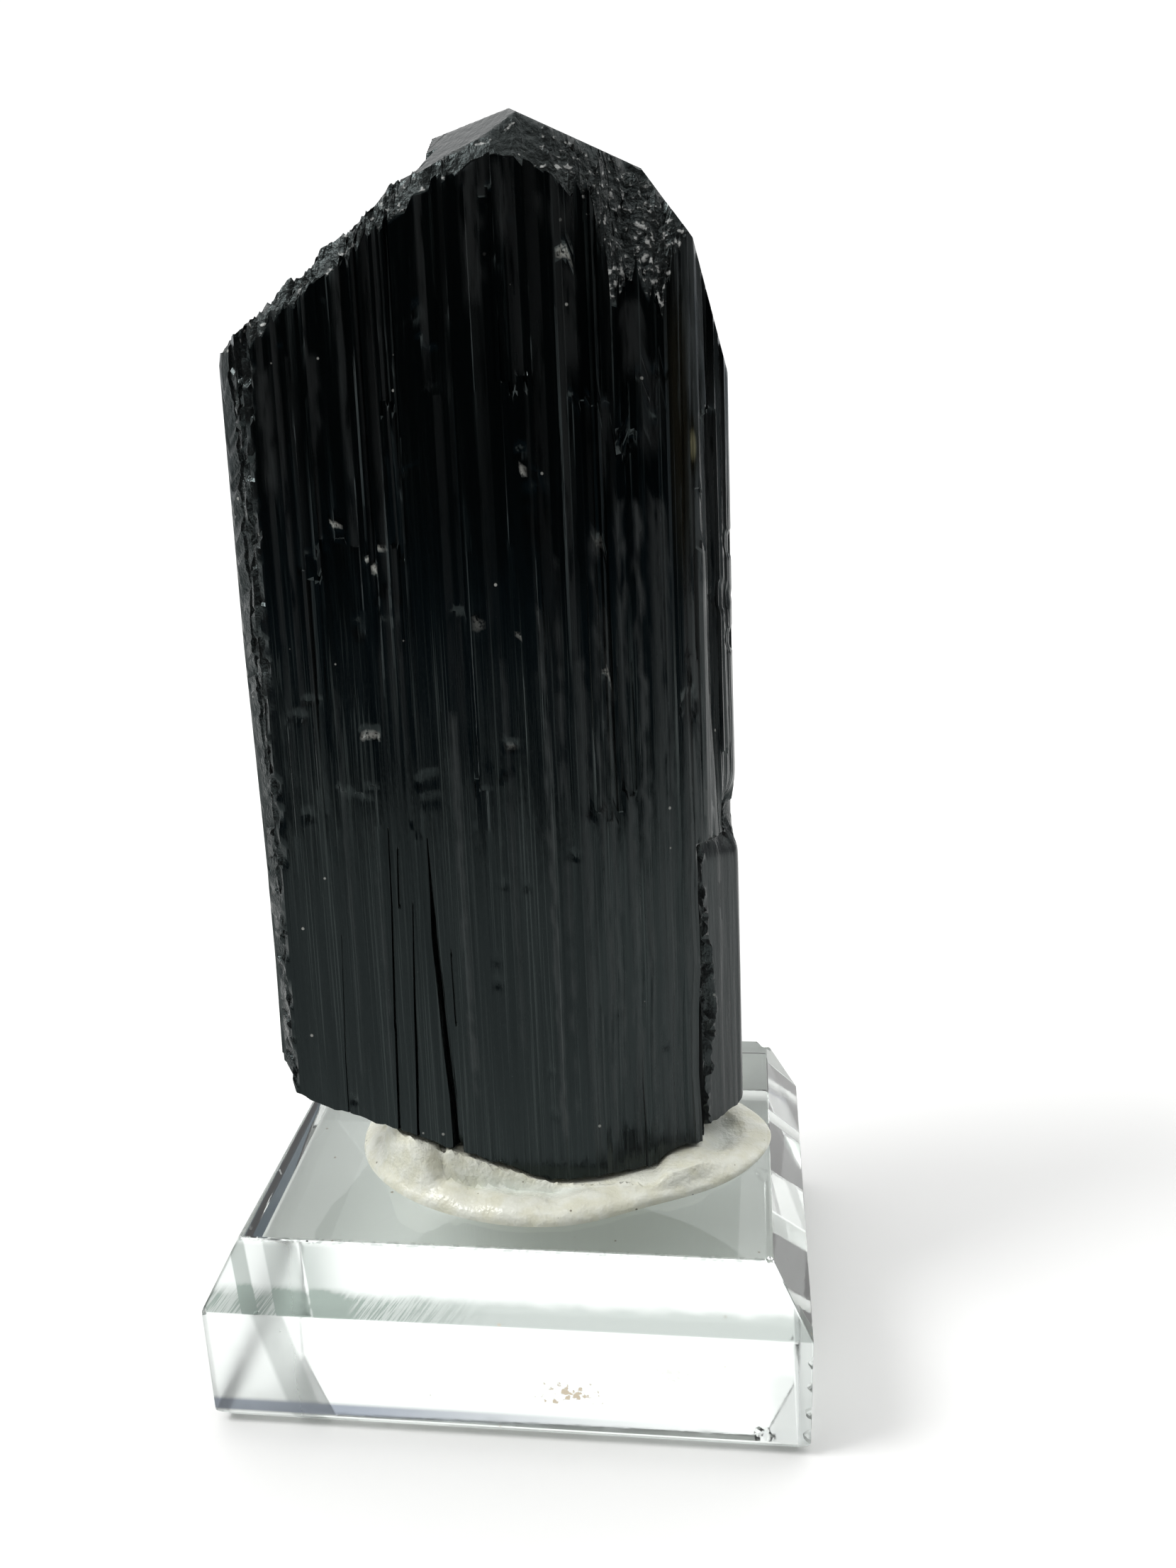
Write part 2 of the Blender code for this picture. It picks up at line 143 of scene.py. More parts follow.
def add_node(tree, kind, links=None, **settings):
    """Add a node, set its properties, and fill its inputs with sockets or plain values."""
    node = tree.nodes.new(kind)
    for name, value in settings.items():
        setattr(node, name, value)
    for name, value in (links or {}).items():
        if isinstance(value, bpy.types.NodeSocket):
            tree.links.new(value, node.inputs[name])
        else:
            node.inputs[name].default_value = value
    return node


def scaled_sum(tree, start, *terms):
    """start plus each socket times its factor."""
    total = start
    for socket, factor in terms:
        step = add_node(tree, "ShaderNodeMath", {0: socket, 1: factor, 2: total}, operation="MULTIPLY_ADD")
        total = step.outputs[0]
    return total


def mix_colour(tree, share, first, second):
    mix = add_node(tree, "ShaderNodeMix", {0: share, 6: first, 7: second}, data_type="RGBA")
    return mix.outputs[2]


def product(tree, first, second):
    return add_node(tree, "ShaderNodeMath", {0: first, 1: second}, operation="MULTIPLY").outputs[0]


def rise_between(tree, value, low, high, start=0.0, end=1.0):
    """A soft rise (or fall) from start to end while the value goes from low to high."""
    links = {"Value": value, "From Min": low, "From Max": high, "To Min": start, "To Max": end}
    return add_node(tree, "ShaderNodeMapRange", links, interpolation_type="SMOOTHSTEP").outputs["Result"]


def band_between(tree, value, start, full, end, gone):
    """A soft rise from start to full times a soft fall from end to gone."""
    return product(tree, rise_between(tree, value, start, full), rise_between(tree, value, gone, end))


def stretched_noise(tree, size, detail=3.0, place=(0, 0, 0), turn=(0, 0, 0)):
    """Noise whose lumps have the given size in metres along turned axes."""
    coordinates = add_node(tree, "ShaderNodeTexCoord").outputs["Object"]
    mapping = add_node(tree, "ShaderNodeMapping", {"Vector": coordinates}, vector_type="TEXTURE")
    mapping.inputs["Location"].default_value = place
    mapping.inputs["Rotation"].default_value = turn
    mapping.inputs["Scale"].default_value = size
    links = {"Vector": mapping.outputs[0], "Scale": 1.0, "Detail": detail}
    return add_node(tree, "ShaderNodeTexNoise", links).outputs["Fac"]


def add_bump(tree, shader, height, distance):
    bump = add_node(tree, "ShaderNodeBump", {"Strength": 1.0, "Distance": distance, "Height": height})
    tree.links.new(bump.outputs[0], shader.inputs["Normal"])


# %% [markdown]
# ## The camera
# The specimen is seen from a little above and from its right, with a wide phone lens held
# close. The camera's place is in millimetres from the centre of the base's underside. It
# could be aimed with a Track To constraint, but three angles say the same and stay plain.

# %% Camera
CAMERA_PLACE = Vector((19.0, -108.5, 87.6)) * MM
CAMERA_TURN = math.radians(6.7)
CAMERA_PITCH = math.radians(18.54)
CAMERA_ROLL = math.radians(-1.77)
CAMERA_LENS_MM = 31.5

bpy.ops.object.camera_add(location=CAMERA_PLACE)
camera = bpy.context.object
camera.name = "camera"
upright = Matrix.Rotation(CAMERA_TURN, 4, "Z") @ Matrix.Rotation(math.pi / 2 - CAMERA_PITCH, 4, "X")
camera.rotation_euler = (upright @ Matrix.Rotation(CAMERA_ROLL, 4, "Z")).to_euler()
camera.data.sensor_fit = "VERTICAL"
camera.data.sensor_height = 36.0
camera.data.lens = CAMERA_LENS_MM
camera.data.clip_start = 1 * MM
bpy.context.scene.camera = camera
print("camera looks along", tuple(round(part, 3) for part in upright @ Vector((0, 0, -1))))

# %% [markdown]
# ## Floor, surroundings and light
# A glossy black thing shows its surroundings more than its own colour. Here a white floor
# makes the crystal's lower half grey, and a dim room above it leaves the upper half black.
# The World holds both: what the camera sees behind the specimen is plain white, and what
# the surfaces reflect is a room that is pale behind and at the sides and dark in front.
# The floor's colour carries painted shade in the same way: it is painted darker far off in
# front and to the right, a little in the corner behind at the right, and in a soft grey patch
# out in front, so that only the floor near the specimen shines on it.

# %% Floor
FLOOR_GAP = 0.05 * MM
FLOOR_LEFT = -0.9
FLOOR_RIGHT = 0.80
FLOOR_FRONT = -1.2
FLOOR_BACK = 1.4
FLOOR_COLOUR = (0.96, 0.96, 0.95, 1.0)
FLOOR_IN_SHADE = (0.66, 0.66, 0.66, 1.0)
FLOOR_FAR_PAINTED_SHADE = (0.02, 0.025, 0.03, 1.0)
FLOOR_CORNER_PAINTED_SHADE = (0.12, 0.125, 0.13, 1.0)
FAR_IN_FRONT = (-0.22, -0.88)
FAR_TO_RIGHT = (0.34, 0.62)
FAR_SLANT = -0.45
CORNER_EDGE = (0.06, 0.26)
CORNER_EDGE_SLANT = -0.60
CORNER_START = (0.0, 0.16)
CORNER_START_SLANT = -0.12
SHADE_MIDDLE = Vector((-0.06, -0.30, 0.0))
SHADE_REACH = (0.16, 0.26)

deselect_all()
floor_middle = ((FLOOR_LEFT + FLOOR_RIGHT) / 2, (FLOOR_FRONT + FLOOR_BACK) / 2, -FLOOR_GAP)
bpy.ops.mesh.primitive_plane_add(size=1.0, location=floor_middle)
floor = bpy.context.object
floor.name = "floor"
floor.scale = (FLOOR_RIGHT - FLOOR_LEFT, FLOOR_BACK - FLOOR_FRONT, 1.0)
apply_place(floor)
paper, tree, shader = new_material("pale_floor")
shader.inputs["Roughness"].default_value = 0.6
shader.inputs["Specular IOR Level"].default_value = 0.2
place = add_node(tree, "ShaderNodeTexCoord").outputs["Object"]
from_shade = add_node(tree, "ShaderNodeVectorMath", {0: place, 1: SHADE_MIDDLE}, operation="DISTANCE")
away = rise_between(tree, from_shade.outputs["Value"], *SHADE_REACH)
across, backward, _ = add_node(tree, "ShaderNodeSeparateXYZ", {0: place}).outputs
# Painted shade: grey round SHADE_MIDDLE, dark far in front, far to the right and in the back corner.
colour = mix_colour(tree, away, FLOOR_IN_SHADE, FLOOR_COLOUR)
colour = mix_colour(tree, rise_between(tree, backward, *FAR_IN_FRONT), colour, FLOOR_FAR_PAINTED_SHADE)
rightward = scaled_sum(tree, across, (backward, FAR_SLANT))
colour = mix_colour(tree, rise_between(tree, rightward, *FAR_TO_RIGHT), colour, FLOOR_FAR_PAINTED_SHADE)
corner_right = rise_between(tree, scaled_sum(tree, across, (backward, CORNER_EDGE_SLANT)), *CORNER_EDGE)
corner_back = rise_between(tree, scaled_sum(tree, backward, (across, CORNER_START_SLANT)), *CORNER_START)
colour = mix_colour(tree, product(tree, corner_right, corner_back), colour, FLOOR_CORNER_PAINTED_SHADE)
tree.links.new(colour, shader.inputs["Base Color"])
floor.data.materials.append(paper)
print("floor lies", FLOOR_GAP / MM, "mm under the base")

# %% [markdown]
# The room's brightness depends on the direction alone. It is dark in front and a little to
# the right, dimmed low down at the right, pale behind and at the left, and brighter higher
# up. Just above the floor there is a dim bluish glow, which the crystal shows half-way up.
# Map Range nodes on the direction say all that.

# %% Surroundings
SEEN_WHITE = 1.05
ROOM_PALE = 0.98
ROOM_HIGH = 1.50
ROOM_DARK = 0.012
DARK_SIDE = Vector((0.28, -0.96, 0.0))
DARK_EDGE = (-0.12, 0.80)
RIGHT_EDGE = (0.20, 0.62)
RIGHT_HEIGHT = (0.36, 0.16)
RIGHT_DIMMED = 0.80
HIGH_EDGE = (0.25, 0.85)
GLOW_COLOUR = (0.030, 0.060, 0.085, 1.0)
GLOW_EDGE = (0.02, 0.17)

world = bpy.data.worlds.new("studio")
bpy.context.scene.world = world
world.use_nodes = True
room = world.node_tree
room.nodes.clear()
direction = add_node(room, "ShaderNodeTexCoord").outputs["Generated"]
rightward, _, upward = add_node(room, "ShaderNodeSeparateXYZ", {0: direction}).outputs
forward = add_node(room, "ShaderNodeVectorMath", {0: direction, 1: DARK_SIDE}, operation="DOT_PRODUCT")
pale_part = rise_between(room, forward.outputs["Value"], *DARK_EDGE, 1.0, ROOM_DARK)
high_part = rise_between(room, upward, *HIGH_EDGE, ROOM_PALE, ROOM_HIGH)
low_part = rise_between(room, upward, *RIGHT_HEIGHT)
right_part = product(room, rise_between(room, rightward, *RIGHT_EDGE), low_part)
right_light = scaled_sum(room, 1.0, (right_part, -RIGHT_DIMMED))
strength = product(room, product(room, pale_part, high_part), right_light)
pale_light = add_node(room, "ShaderNodeBackground", {"Color": (1.0, 1.0, 1.0, 1.0), "Strength": strength})
glow_part = rise_between(room, upward, *GLOW_EDGE, 1.0, 0.0)
glow_light = add_node(room, "ShaderNodeBackground", {"Color": GLOW_COLOUR, "Strength": glow_part})
reflected = add_node(room, "ShaderNodeAddShader", {0: pale_light.outputs[0], 1: glow_light.outputs[0]})
seen = add_node(room, "ShaderNodeBackground", {"Color": (1.0, 1.0, 1.0, 1.0), "Strength": SEEN_WHITE})
ray = add_node(room, "ShaderNodeLightPath").outputs["Is Camera Ray"]
both = add_node(room, "ShaderNodeMixShader", {0: ray, 1: reflected.outputs[0], 2: seen.outputs[0]})
add_node(room, "ShaderNodeOutputWorld", {"Surface": both.outputs[0]})
print("room:", len(room.nodes), "nodes")

# %% [markdown]
# The main light comes from the upper left, like a window. A Sun lamp with a wide angle
# gives a faint, soft shadow to the right and, unlike an area lamp, it doesn't fall off
# across the floor.

# %% Lights
KEY_FROM = Vector((-0.62, -0.155, 0.77))
KEY_ANGLE = math.radians(20.0)
KEY_STRENGTH = 1.35

bpy.ops.object.light_add(type="SUN", location=KEY_FROM * 0.5)
key_light = bpy.context.object
key_light.name = "window_light"
key_light.rotation_euler = KEY_FROM.to_track_quat("Z", "Y").to_euler()
key_light.data.angle = KEY_ANGLE
key_light.data.energy = KEY_STRENGTH
bpy.context.scene.view_settings.view_transform = "Standard"

# %% [markdown]
# ## The clear base
# The base is a cast block of clear plastic: a low box whose top is drawn in by steep
# bevels, with a small bevel at the foot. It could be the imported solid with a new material,
# but its worn corners catch the eye, so it is made again here: a cube is resized, its top
# and bottom faces are extruded and drawn in, the edges get a fine bevel, and small lumpy
# balls take chips out of edges and corners. Its faces are shaded flat, because clear
# plastic shows every slip of a normal as a bent dark line.

# %% Base block
BASE_LOW, BASE_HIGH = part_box("display_base")
BASE_SIZE = BASE_HIGH - BASE_LOW
TOP_BEVEL_DROP = 6.2 * MM
TOP_BEVEL_SIDE = 3.25 * MM
TOP_BEVEL_FRONT = 1.8 * MM
FOOT_BEVEL_RISE = 1.1 * MM
FOOT_BEVEL_INSET = 0.9 * MM
BASE_EDGE_ROUND = 0.16 * MM

deselect_all()
wall_height = BASE_SIZE.z - TOP_BEVEL_DROP - FOOT_BEVEL_RISE
bpy.ops.mesh.primitive_cube_add(size=1.0, location=(0, 0, FOOT_BEVEL_RISE + wall_height / 2))
base = bpy.context.object
base.name = "clear_base"
base.scale = (BASE_SIZE.x, BASE_SIZE.y, wall_height)
apply_place(base)


def draw_in_face(piece, side, rise, inset_x, inset_y):
    """Extrude the top (+1) or bottom (-1) face by rise and draw its edges in."""
    make_active(piece)
    bpy.ops.object.mode_set(mode="EDIT")
    bpy.ops.mesh.select_all(action="DESELECT")
    bpy.ops.object.mode_set(mode="OBJECT")
    face = max(piece.data.polygons, key=lambda each: side * each.center.z)
    face.select = True
    bpy.ops.object.mode_set(mode="EDIT")
    bpy.ops.mesh.select_mode(type="FACE")
    bpy.ops.mesh.extrude_region_move(TRANSFORM_OT_translate={"value": (0, 0, side * rise)})
    factors = (1 - 2 * inset_x / BASE_SIZE.x, 1 - 2 * inset_y / BASE_SIZE.y, 1.0)
    bpy.ops.transform.resize(value=factors)
    bpy.ops.object.mode_set(mode="OBJECT")


draw_in_face(base, +1, TOP_BEVEL_DROP, TOP_BEVEL_SIDE, TOP_BEVEL_FRONT)
draw_in_face(base, -1, FOOT_BEVEL_RISE, FOOT_BEVEL_INSET, FOOT_BEVEL_INSET)
edge_bevel = base.modifiers.new("worn edges", "BEVEL")
edge_bevel.width = BASE_EDGE_ROUND
edge_bevel.segments = 2
edge_bevel.limit_method = "ANGLE"
edge_bevel.angle_limit = math.radians(10.0)
apply_modifiers(base)
print("base block:", count_triangles(base), "triangles")

# %% Chips out of the base's edges
CHIPS = (
    # middle, radius
    ((-24.9, -19.35, 11.4), 0.50),
    ((-20.3, -19.4, 11.5), 0.34),
    ((-18.4, -19.55, 9.8), 0.40),
    ((-21.6, -17.5, 17.6), 0.34),
    ((-17.3, -17.4, 17.6), 0.26),
    ((21.6, -17.3, 17.6), 0.45),
    ((22.0, 17.6, 17.6), 1.30),
    ((25.3, -19.7, 9.4), 0.90),
    ((25.4, -19.8, 6.9), 1.10),
    ((25.3, -19.7, 4.4), 0.95),
    ((25.2, -19.6, 2.0), 0.95),
    ((-24.4, -18.6, 0.4), 0.55),
)
CHIP_SHAKE = 0.35
CHIP_LUMP = 0.7


def add_lumpy_ball(middle, radius, seed):
    """A ball whose points are shaken in and out by smooth noise."""
    deselect_all()
    bpy.ops.mesh.primitive_ico_sphere_add(subdivisions=3, radius=1.0)
    ball = bpy.context.object
    points = points_of(ball)
    shaken = points * (1 + CHIP_SHAKE * lumps(points, CHIP_LUMP, seed))[:, None]
    place_points(ball, shaken * radius + np.array(middle))
    return ball


chip_balls = [add_lumpy_ball(middle, radius, seed) for seed, (middle, radius) in enumerate(CHIPS)]
deselect_all()
for ball in chip_balls:
    ball.select_set(True)
bpy.context.view_layer.objects.active = chip_balls[0]
bpy.ops.object.join()
cutter = bpy.context.object
chipping = base.modifiers.new("chips", "BOOLEAN")
chipping.operation = "DIFFERENCE"
chipping.object = cutter
chipping.solver = "EXACT"
apply_modifiers(base)
bpy.data.objects.remove(cutter)
make_active(base)
bpy.ops.object.shade_flat()
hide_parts("display_base")
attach(base, "root")
print("base with chips:", count_triangles(base), "triangles")

# %% [markdown]
# The plastic is clear. Grey bands along the lower edge of the front bevel and at the left, a
# light grey over the front bevel, two bars at the mitre, a band at the right end of the front,
# a broken line along the top front edge and a bluish band over the foot are painted shade and
# painted reflection, standing in for the darker surroundings seen through the block. The block
# also has a rusty stain, a fainter one and specks of dirt. Each is a share between 0 and 1,
# worked out from the place in millimetres, and the shares tint the clear colour one after the
# other.
# A band's four numbers say where it starts, is full, begins to fade and is gone. The ends
# of the front are rubbed dull.

# %% Clear plastic
CLEAR_COLOUR = (0.93, 0.97, 0.945, 1.0)
PAINTED_SHADE_COLOUR = (0.09, 0.125, 0.105, 1.0)
FOOT_PAINTED_SHADE_COLOUR = (0.12, 0.145, 0.20, 1.0)
RUST_COLOUR = (0.30, 0.22, 0.13, 1.0)
CLEAR_IOR = 1.49
RUST_PLACE = (5.5, -19.2, 4.8)
RUST_REACH = (2.6, 9.0, 1.3)
FAINT_PLACE = (13.9, -19.2, 7.6)
FAINT_REACH = (1.6, 9.0, 1.1)
DIRT_SPACING = 2.3 * MM
DIRT_RADIUS = (0.075, 0.045)
DIRT_CHOSEN = (0.70, 0.72)
FRONT_FACES = (-17.3, -17.6)
BEVEL_FOOT = (11.15, 11.3)
LEFT_BEVEL_SLANT = -0.524
LEFT_BEVEL_EDGE = (-30.60, -30.78)
CLOUD_SIZE = (2.6 * MM, 2.6 * MM, 1.6 * MM)
HATCH_SIZE = (0.10 * MM, 2.0 * MM, 2.4 * MM)
HATCH_TURN = (0.0, math.radians(38.0), 0.0)
HATCH_EDGE = (0.42, 0.62)
HATCH_FADE = (2.0, -10.0)
LOW_BAND_EDGE = (14.4, 13.1)
BAND_SLANT = 0.20
LEFT_BAND = (-13.25, -13.05, -13.2, -8.4)
FIRST_BAR = (-16.4, -16.2, -13.6, -13.3)
SECOND_BAR = (-19.3, -19.2, -18.0, -17.8)
SIDE_SLANT = 0.256
SIDE_BAND = (-18.2, -17.6, -15.4, -14.9)
FAR_BAND_EDGE = (21.6, 23.6)
FOOT_BAND = (1.2, 1.5, 2.3, 2.9)
FOOT_BAND_FADE = (30.0, -16.0)
EDGE_GAP_SIZE = (0.5 * MM, 0.5 * MM, 0.3 * MM)
EDGE_GAPS = (0.48, 0.58)
EDGE_LINE_BACK = (-17.0, -17.3)
EDGE_LINE_HEIGHT = (17.0, 17.25)
DULL_RIGHT = (23.7, 24.2)
DULL_LEFT = (-15.5, -19.0)
SCUFF_SIZE = (0.5 * MM, 0.5 * MM, 0.5 * MM)
SCUFF_DEPTH = 0.004 * MM
SPOT_GRAIN = (0.45 * MM, 0.45 * MM, 0.45 * MM)
SPOT_FALL = 0.22

clear_plastic, tree, shader = new_material("clear_plastic")
in_mm = add_node(tree, "ShaderNodeTexCoord").outputs["Object"]
in_mm = add_node(tree, "ShaderNodeVectorMath", {0: in_mm, "Scale": 1000.0}, operation="SCALE").outputs[0]
across, inward, upward = add_node(tree, "ShaderNodeSeparateXYZ", {0: in_mm}).outputs
front_part = rise_between(tree, inward, *FRONT_FACES)
above_bevel_foot = rise_between(tree, upward, *BEVEL_FOOT)
bevel_part = product(tree, front_part, above_bevel_foot)
wall_part = product(tree, front_part, rise_between(tree, upward, *reversed(BEVEL_FOOT)))
cloud = stretched_noise(tree, CLOUD_SIZE, 4.0)
hatch = stretched_noise(tree, HATCH_SIZE, 1.0, (0, 0, 0), HATCH_TURN)
hatch_left = product(tree, rise_between(tree, hatch, *HATCH_EDGE), rise_between(tree, across, *HATCH_FADE))
hatched = scaled_sum(tree, 0.80, (hatch_left, 0.30))

low_band = rise_between(tree, scaled_sum(tree, upward, (cloud, 1.0)), *LOW_BAND_EDGE)
low_band = product(tree, product(tree, low_band, bevel_part), hatched)
left_start = scaled_sum(tree, across, (upward, BAND_SLANT))
left_band = product(tree, band_between(tree, left_start, *LEFT_BAND), bevel_part)
first_bar = band_between(tree, left_start, *FIRST_BAR)
second_bar = band_between(tree, left_start, *SECOND_BAR)
bars = product(tree, scaled_sum(tree, 0.0, (first_bar, 0.40), (second_bar, 0.55)), bevel_part)
slant = scaled_sum(tree, across, (upward, SIDE_SLANT))
side_band = product(tree, band_between(tree, slant, *SIDE_BAND), wall_part)
far_edge = scaled_sum(tree, across, (cloud, 2.0))
far_band = product(tree, wall_part, rise_between(tree, far_edge, *FAR_BAND_EDGE))
foot_band = product(tree, band_between(tree, upward, *FOOT_BAND), wall_part)
foot_band = product(tree, foot_band, rise_between(tree, across, *FOOT_BAND_FADE))
edge_gaps = stretched_noise(tree, EDGE_GAP_SIZE, 3.0)
edge_line = rise_between(tree, inward, *EDGE_LINE_BACK)
edge_line = product(tree, edge_line, rise_between(tree, upward, *EDGE_LINE_HEIGHT))
edge_line = product(tree, edge_line, rise_between(tree, edge_gaps, *EDGE_GAPS))
# Painted shade and painted reflection: the bands, bars and edge line darken the clear colour.
painted_shade = scaled_sum(
    tree,
    0.0,
    (bevel_part, 0.27),
    (bars, 1.0),
    (low_band, 0.66),
    (left_band, 0.55),
    (side_band, 0.55),
    (far_band, 0.35),
    (edge_line, 0.5),
)
dull_right = product(tree, front_part, rise_between(tree, across, *DULL_RIGHT))
dull_left = product(tree, front_part, rise_between(tree, across, *DULL_LEFT))
left_slope = scaled_sum(tree, across, (upward, LEFT_BEVEL_SLANT))
left_bevel = product(tree, above_bevel_foot, rise_between(tree, left_slope, *LEFT_BEVEL_EDGE))


def spot(place, reach, low, high):
    """Ragged spots inside an egg-shaped region."""
    offset = add_node(tree, "ShaderNodeVectorMath", {0: in_mm, 1: place}, operation="SUBTRACT").outputs[0]
    offset = add_node(tree, "ShaderNodeVectorMath", {0: offset, 1: reach}, operation="DIVIDE").outputs[0]
    away = add_node(tree, "ShaderNodeVectorMath", {0: offset}, operation="LENGTH").outputs["Value"]
    grain = stretched_noise(tree, SPOT_GRAIN, 3.0)
    return rise_between(tree, scaled_sum(tree, grain, (away, -SPOT_FALL)), low, high)


dirt = add_node(tree, "ShaderNodeTexVoronoi", {"Vector": in_mm, "Scale": MM / DIRT_SPACING})
dirt_chosen = add_node(tree, "ShaderNodeSeparateColor", {0: dirt.outputs["Color"]}).outputs[0]
dirt_spot = rise_between(tree, dirt.outputs["Distance"], *DIRT_RADIUS)
dirt_share = product(tree, dirt_spot, rise_between(tree, dirt_chosen, *DIRT_CHOSEN))
faint_stain = spot(FAINT_PLACE, FAINT_REACH, 0.40, 0.52)
colour = mix_colour(tree, painted_shade, CLEAR_COLOUR, PAINTED_SHADE_COLOUR)
# Painted shade: a bluish band over the foot.
colour = mix_colour(tree, foot_band, colour, FOOT_PAINTED_SHADE_COLOUR)
colour = mix_colour(tree, spot(RUST_PLACE, RUST_REACH, 0.40, 0.50), colour, RUST_COLOUR)
colour = mix_colour(tree, product(tree, faint_stain, 0.35), colour, RUST_COLOUR)
colour = mix_colour(tree, product(tree, dirt_share, 0.8), colour, RUST_COLOUR)
tree.links.new(colour, shader.inputs["Base Color"])
roughness = scaled_sum(
    tree,
    0.015,
    (rise_between(tree, cloud, 0.45, 0.75), 0.05),
    (painted_shade, 0.06),
    (dull_right, 0.45),
    (dull_left, 0.36),
    (left_bevel, 0.45),
)
tree.links.new(roughness, shader.inputs["Roughness"])
scuffs = stretched_noise(tree, SCUFF_SIZE, 3.0)
add_bump(tree, shader, product(tree, scaled_sum(tree, 0.15, (painted_shade, 1.0)), scuffs), SCUFF_DEPTH)
shader.inputs["IOR"].default_value = CLEAR_IOR
shader.inputs["Transmission Weight"].default_value = 1.0
give_material(base, clear_plastic)
print("plastic material:", len(tree.nodes), "nodes")

# %% [markdown]
# ## The crystal's section
# Tourmaline grows as a prism with a bulging three-sided section. This one is broad and flat
# in front, rounds off to the right and comes back at the left as a narrow slanted edge.
# Corners joined by straight sides and arcs describe it, in millimetres, with x to the right
# and y to the back. Every later step places its detail by the distance along this outline.

# %% Section outline
SECTION_CORNERS = (
    (-18.8, 0.0, 0.5),
    (7.5, 0.0, 16.0),
    (17.0, 5.2, 5.0),
    (20.0, 12.5, 3.0),
    (14.5, 20.5, 4.0),
    (6.0, 25.0, 5.0),
    (-8.0, 25.4, 6.0),
    (-15.5, 17.0, 5.0),
    (-20.3, 7.0, 3.0),
    (-20.4, 1.9, 0.5),
)
ARC_STEP = math.radians(2.5)


def section_outline():
    """The corners joined by straight sides and arcs, counter-clockwise from above."""
    points = []
    count = len(SECTION_CORNERS)
    for index, (x, y, radius) in enumerate(SECTION_CORNERS):
        corner = Vector((x, y))
        before = (Vector(SECTION_CORNERS[index - 1][:2]) - corner).normalized()
        after = (Vector(SECTION_CORNERS[(index + 1) % count][:2]) - corner).normalized()
        turn = math.pi - before.angle(after)
        arm_start = corner + before * radius * math.tan(turn / 2)
        centre = corner + (before + after).normalized() * radius / math.cos(turn / 2)
        steps = max(1, round(turn / ARC_STEP))
        for step in range(steps + 1):
            points.append(centre + Matrix.Rotation(turn * step / steps, 2) @ (arm_start - centre))
    return np.array([tuple(point) for point in points])


OUTLINE = section_outline()
SIDES = np.roll(OUTLINE, -1, axis=0) - OUTLINE
SIDE_LENGTHS = np.hypot(SIDES[:, 0], SIDES[:, 1])
SIDE_STARTS = np.concatenate([[0.0], np.cumsum(SIDE_LENGTHS)])
PERIMETER = SIDE_STARTS[-1]
FRONT_SIDES = OUTLINE[:, 0].argmax() + 1
FRONT_END = SIDE_STARTS[FRONT_SIDES - 1]


def on_section(distance):
    """The points and outward normals at distances along the outline."""
    distance = np.mod(distance, PERIMETER)
    side = np.clip(np.searchsorted(SIDE_STARTS, distance, side="right") - 1, 0, len(SIDES) - 1)
    direction = SIDES[side] / SIDE_LENGTHS[side][..., None]
    point = OUTLINE[side] + direction * (distance - SIDE_STARTS[side])[..., None]
    return point, np.stack([direction[..., 1], -direction[..., 0]], axis=-1)


def front_distance(x):
    """The distance along the outline of a place on the front, given by its x."""
    return np.interp(x, OUTLINE[:FRONT_SIDES, 0], SIDE_STARTS[:FRONT_SIDES])


def front_depth(x):
    """How far back the front lies at x: 0 on the flat, more where it rounds off."""
    front = np.vstack([SECTION_CORNERS[-1][:2], OUTLINE[:FRONT_SIDES]])
    return np.interp(x, front[:, 0], front[:, 1])


print("section:", round(PERIMETER, 1), "mm round,", len(OUTLINE), "points")

# %% [markdown]
# ## Striations
# The fine lines down the prism are narrow facets, each set a little in or out of its
# neighbours and turned a few degrees. A bump texture can draw them, but only real facets
# give the sharp bright lines at the rounded right side, so each rib gets its own two
# columns of the mesh. Wide ribs are the same as in the solid, and each is split into fine
# ribs here.

# %% Ribs
RIB_SEED = 11
RIB_WIDTH = (0.9, 2.3)
RIB_DEPTH_FLAT = 0.16
RIB_DEPTH_ROUND = 0.42
RIB_FLANK = 0.12
ROUND_SIDE_START = 3.0
SHORTEST_RIB = 0.1
FLAT_DEPTH_WIDE = 1.0
FLAT_DEPTH_FINE = 0.6
FINE_SEED = 23
FINE_WIDTH_FRONT = (0.22, 0.62)
FINE_WIDTH_BACK = (0.45, 1.1)
FINE_FLANK = 0.08
FINE_DEPTH_FLAT = 0.035
FINE_DEPTH_ROUND = 0.10
FINE_TILT_FLAT = 0.016
FINE_TILT_ROUND = 0.06
FINE_TILT_RARE = 2.5
FINE_RARE_SHARE = 0.12


def wide_ribs():
    """Start, end and depth of each wide rib."""
    draw = random.Random(RIB_SEED)
    ribs = []
    start = 0.0
    while start < PERIMETER - RIB_WIDTH[0]:
        width = draw.uniform(*RIB_WIDTH)
        middle, _ = on_section(np.array(start + width / 2))
        on_flat = middle[1] < FLAT_DEPTH_WIDE and middle[0] < ROUND_SIDE_START
        depth = draw.random() * (RIB_DEPTH_FLAT if on_flat else RIB_DEPTH_ROUND)
        ribs.append((start, min(start + width, PERIMETER) - RIB_FLANK, depth))
        start += width
    return ribs


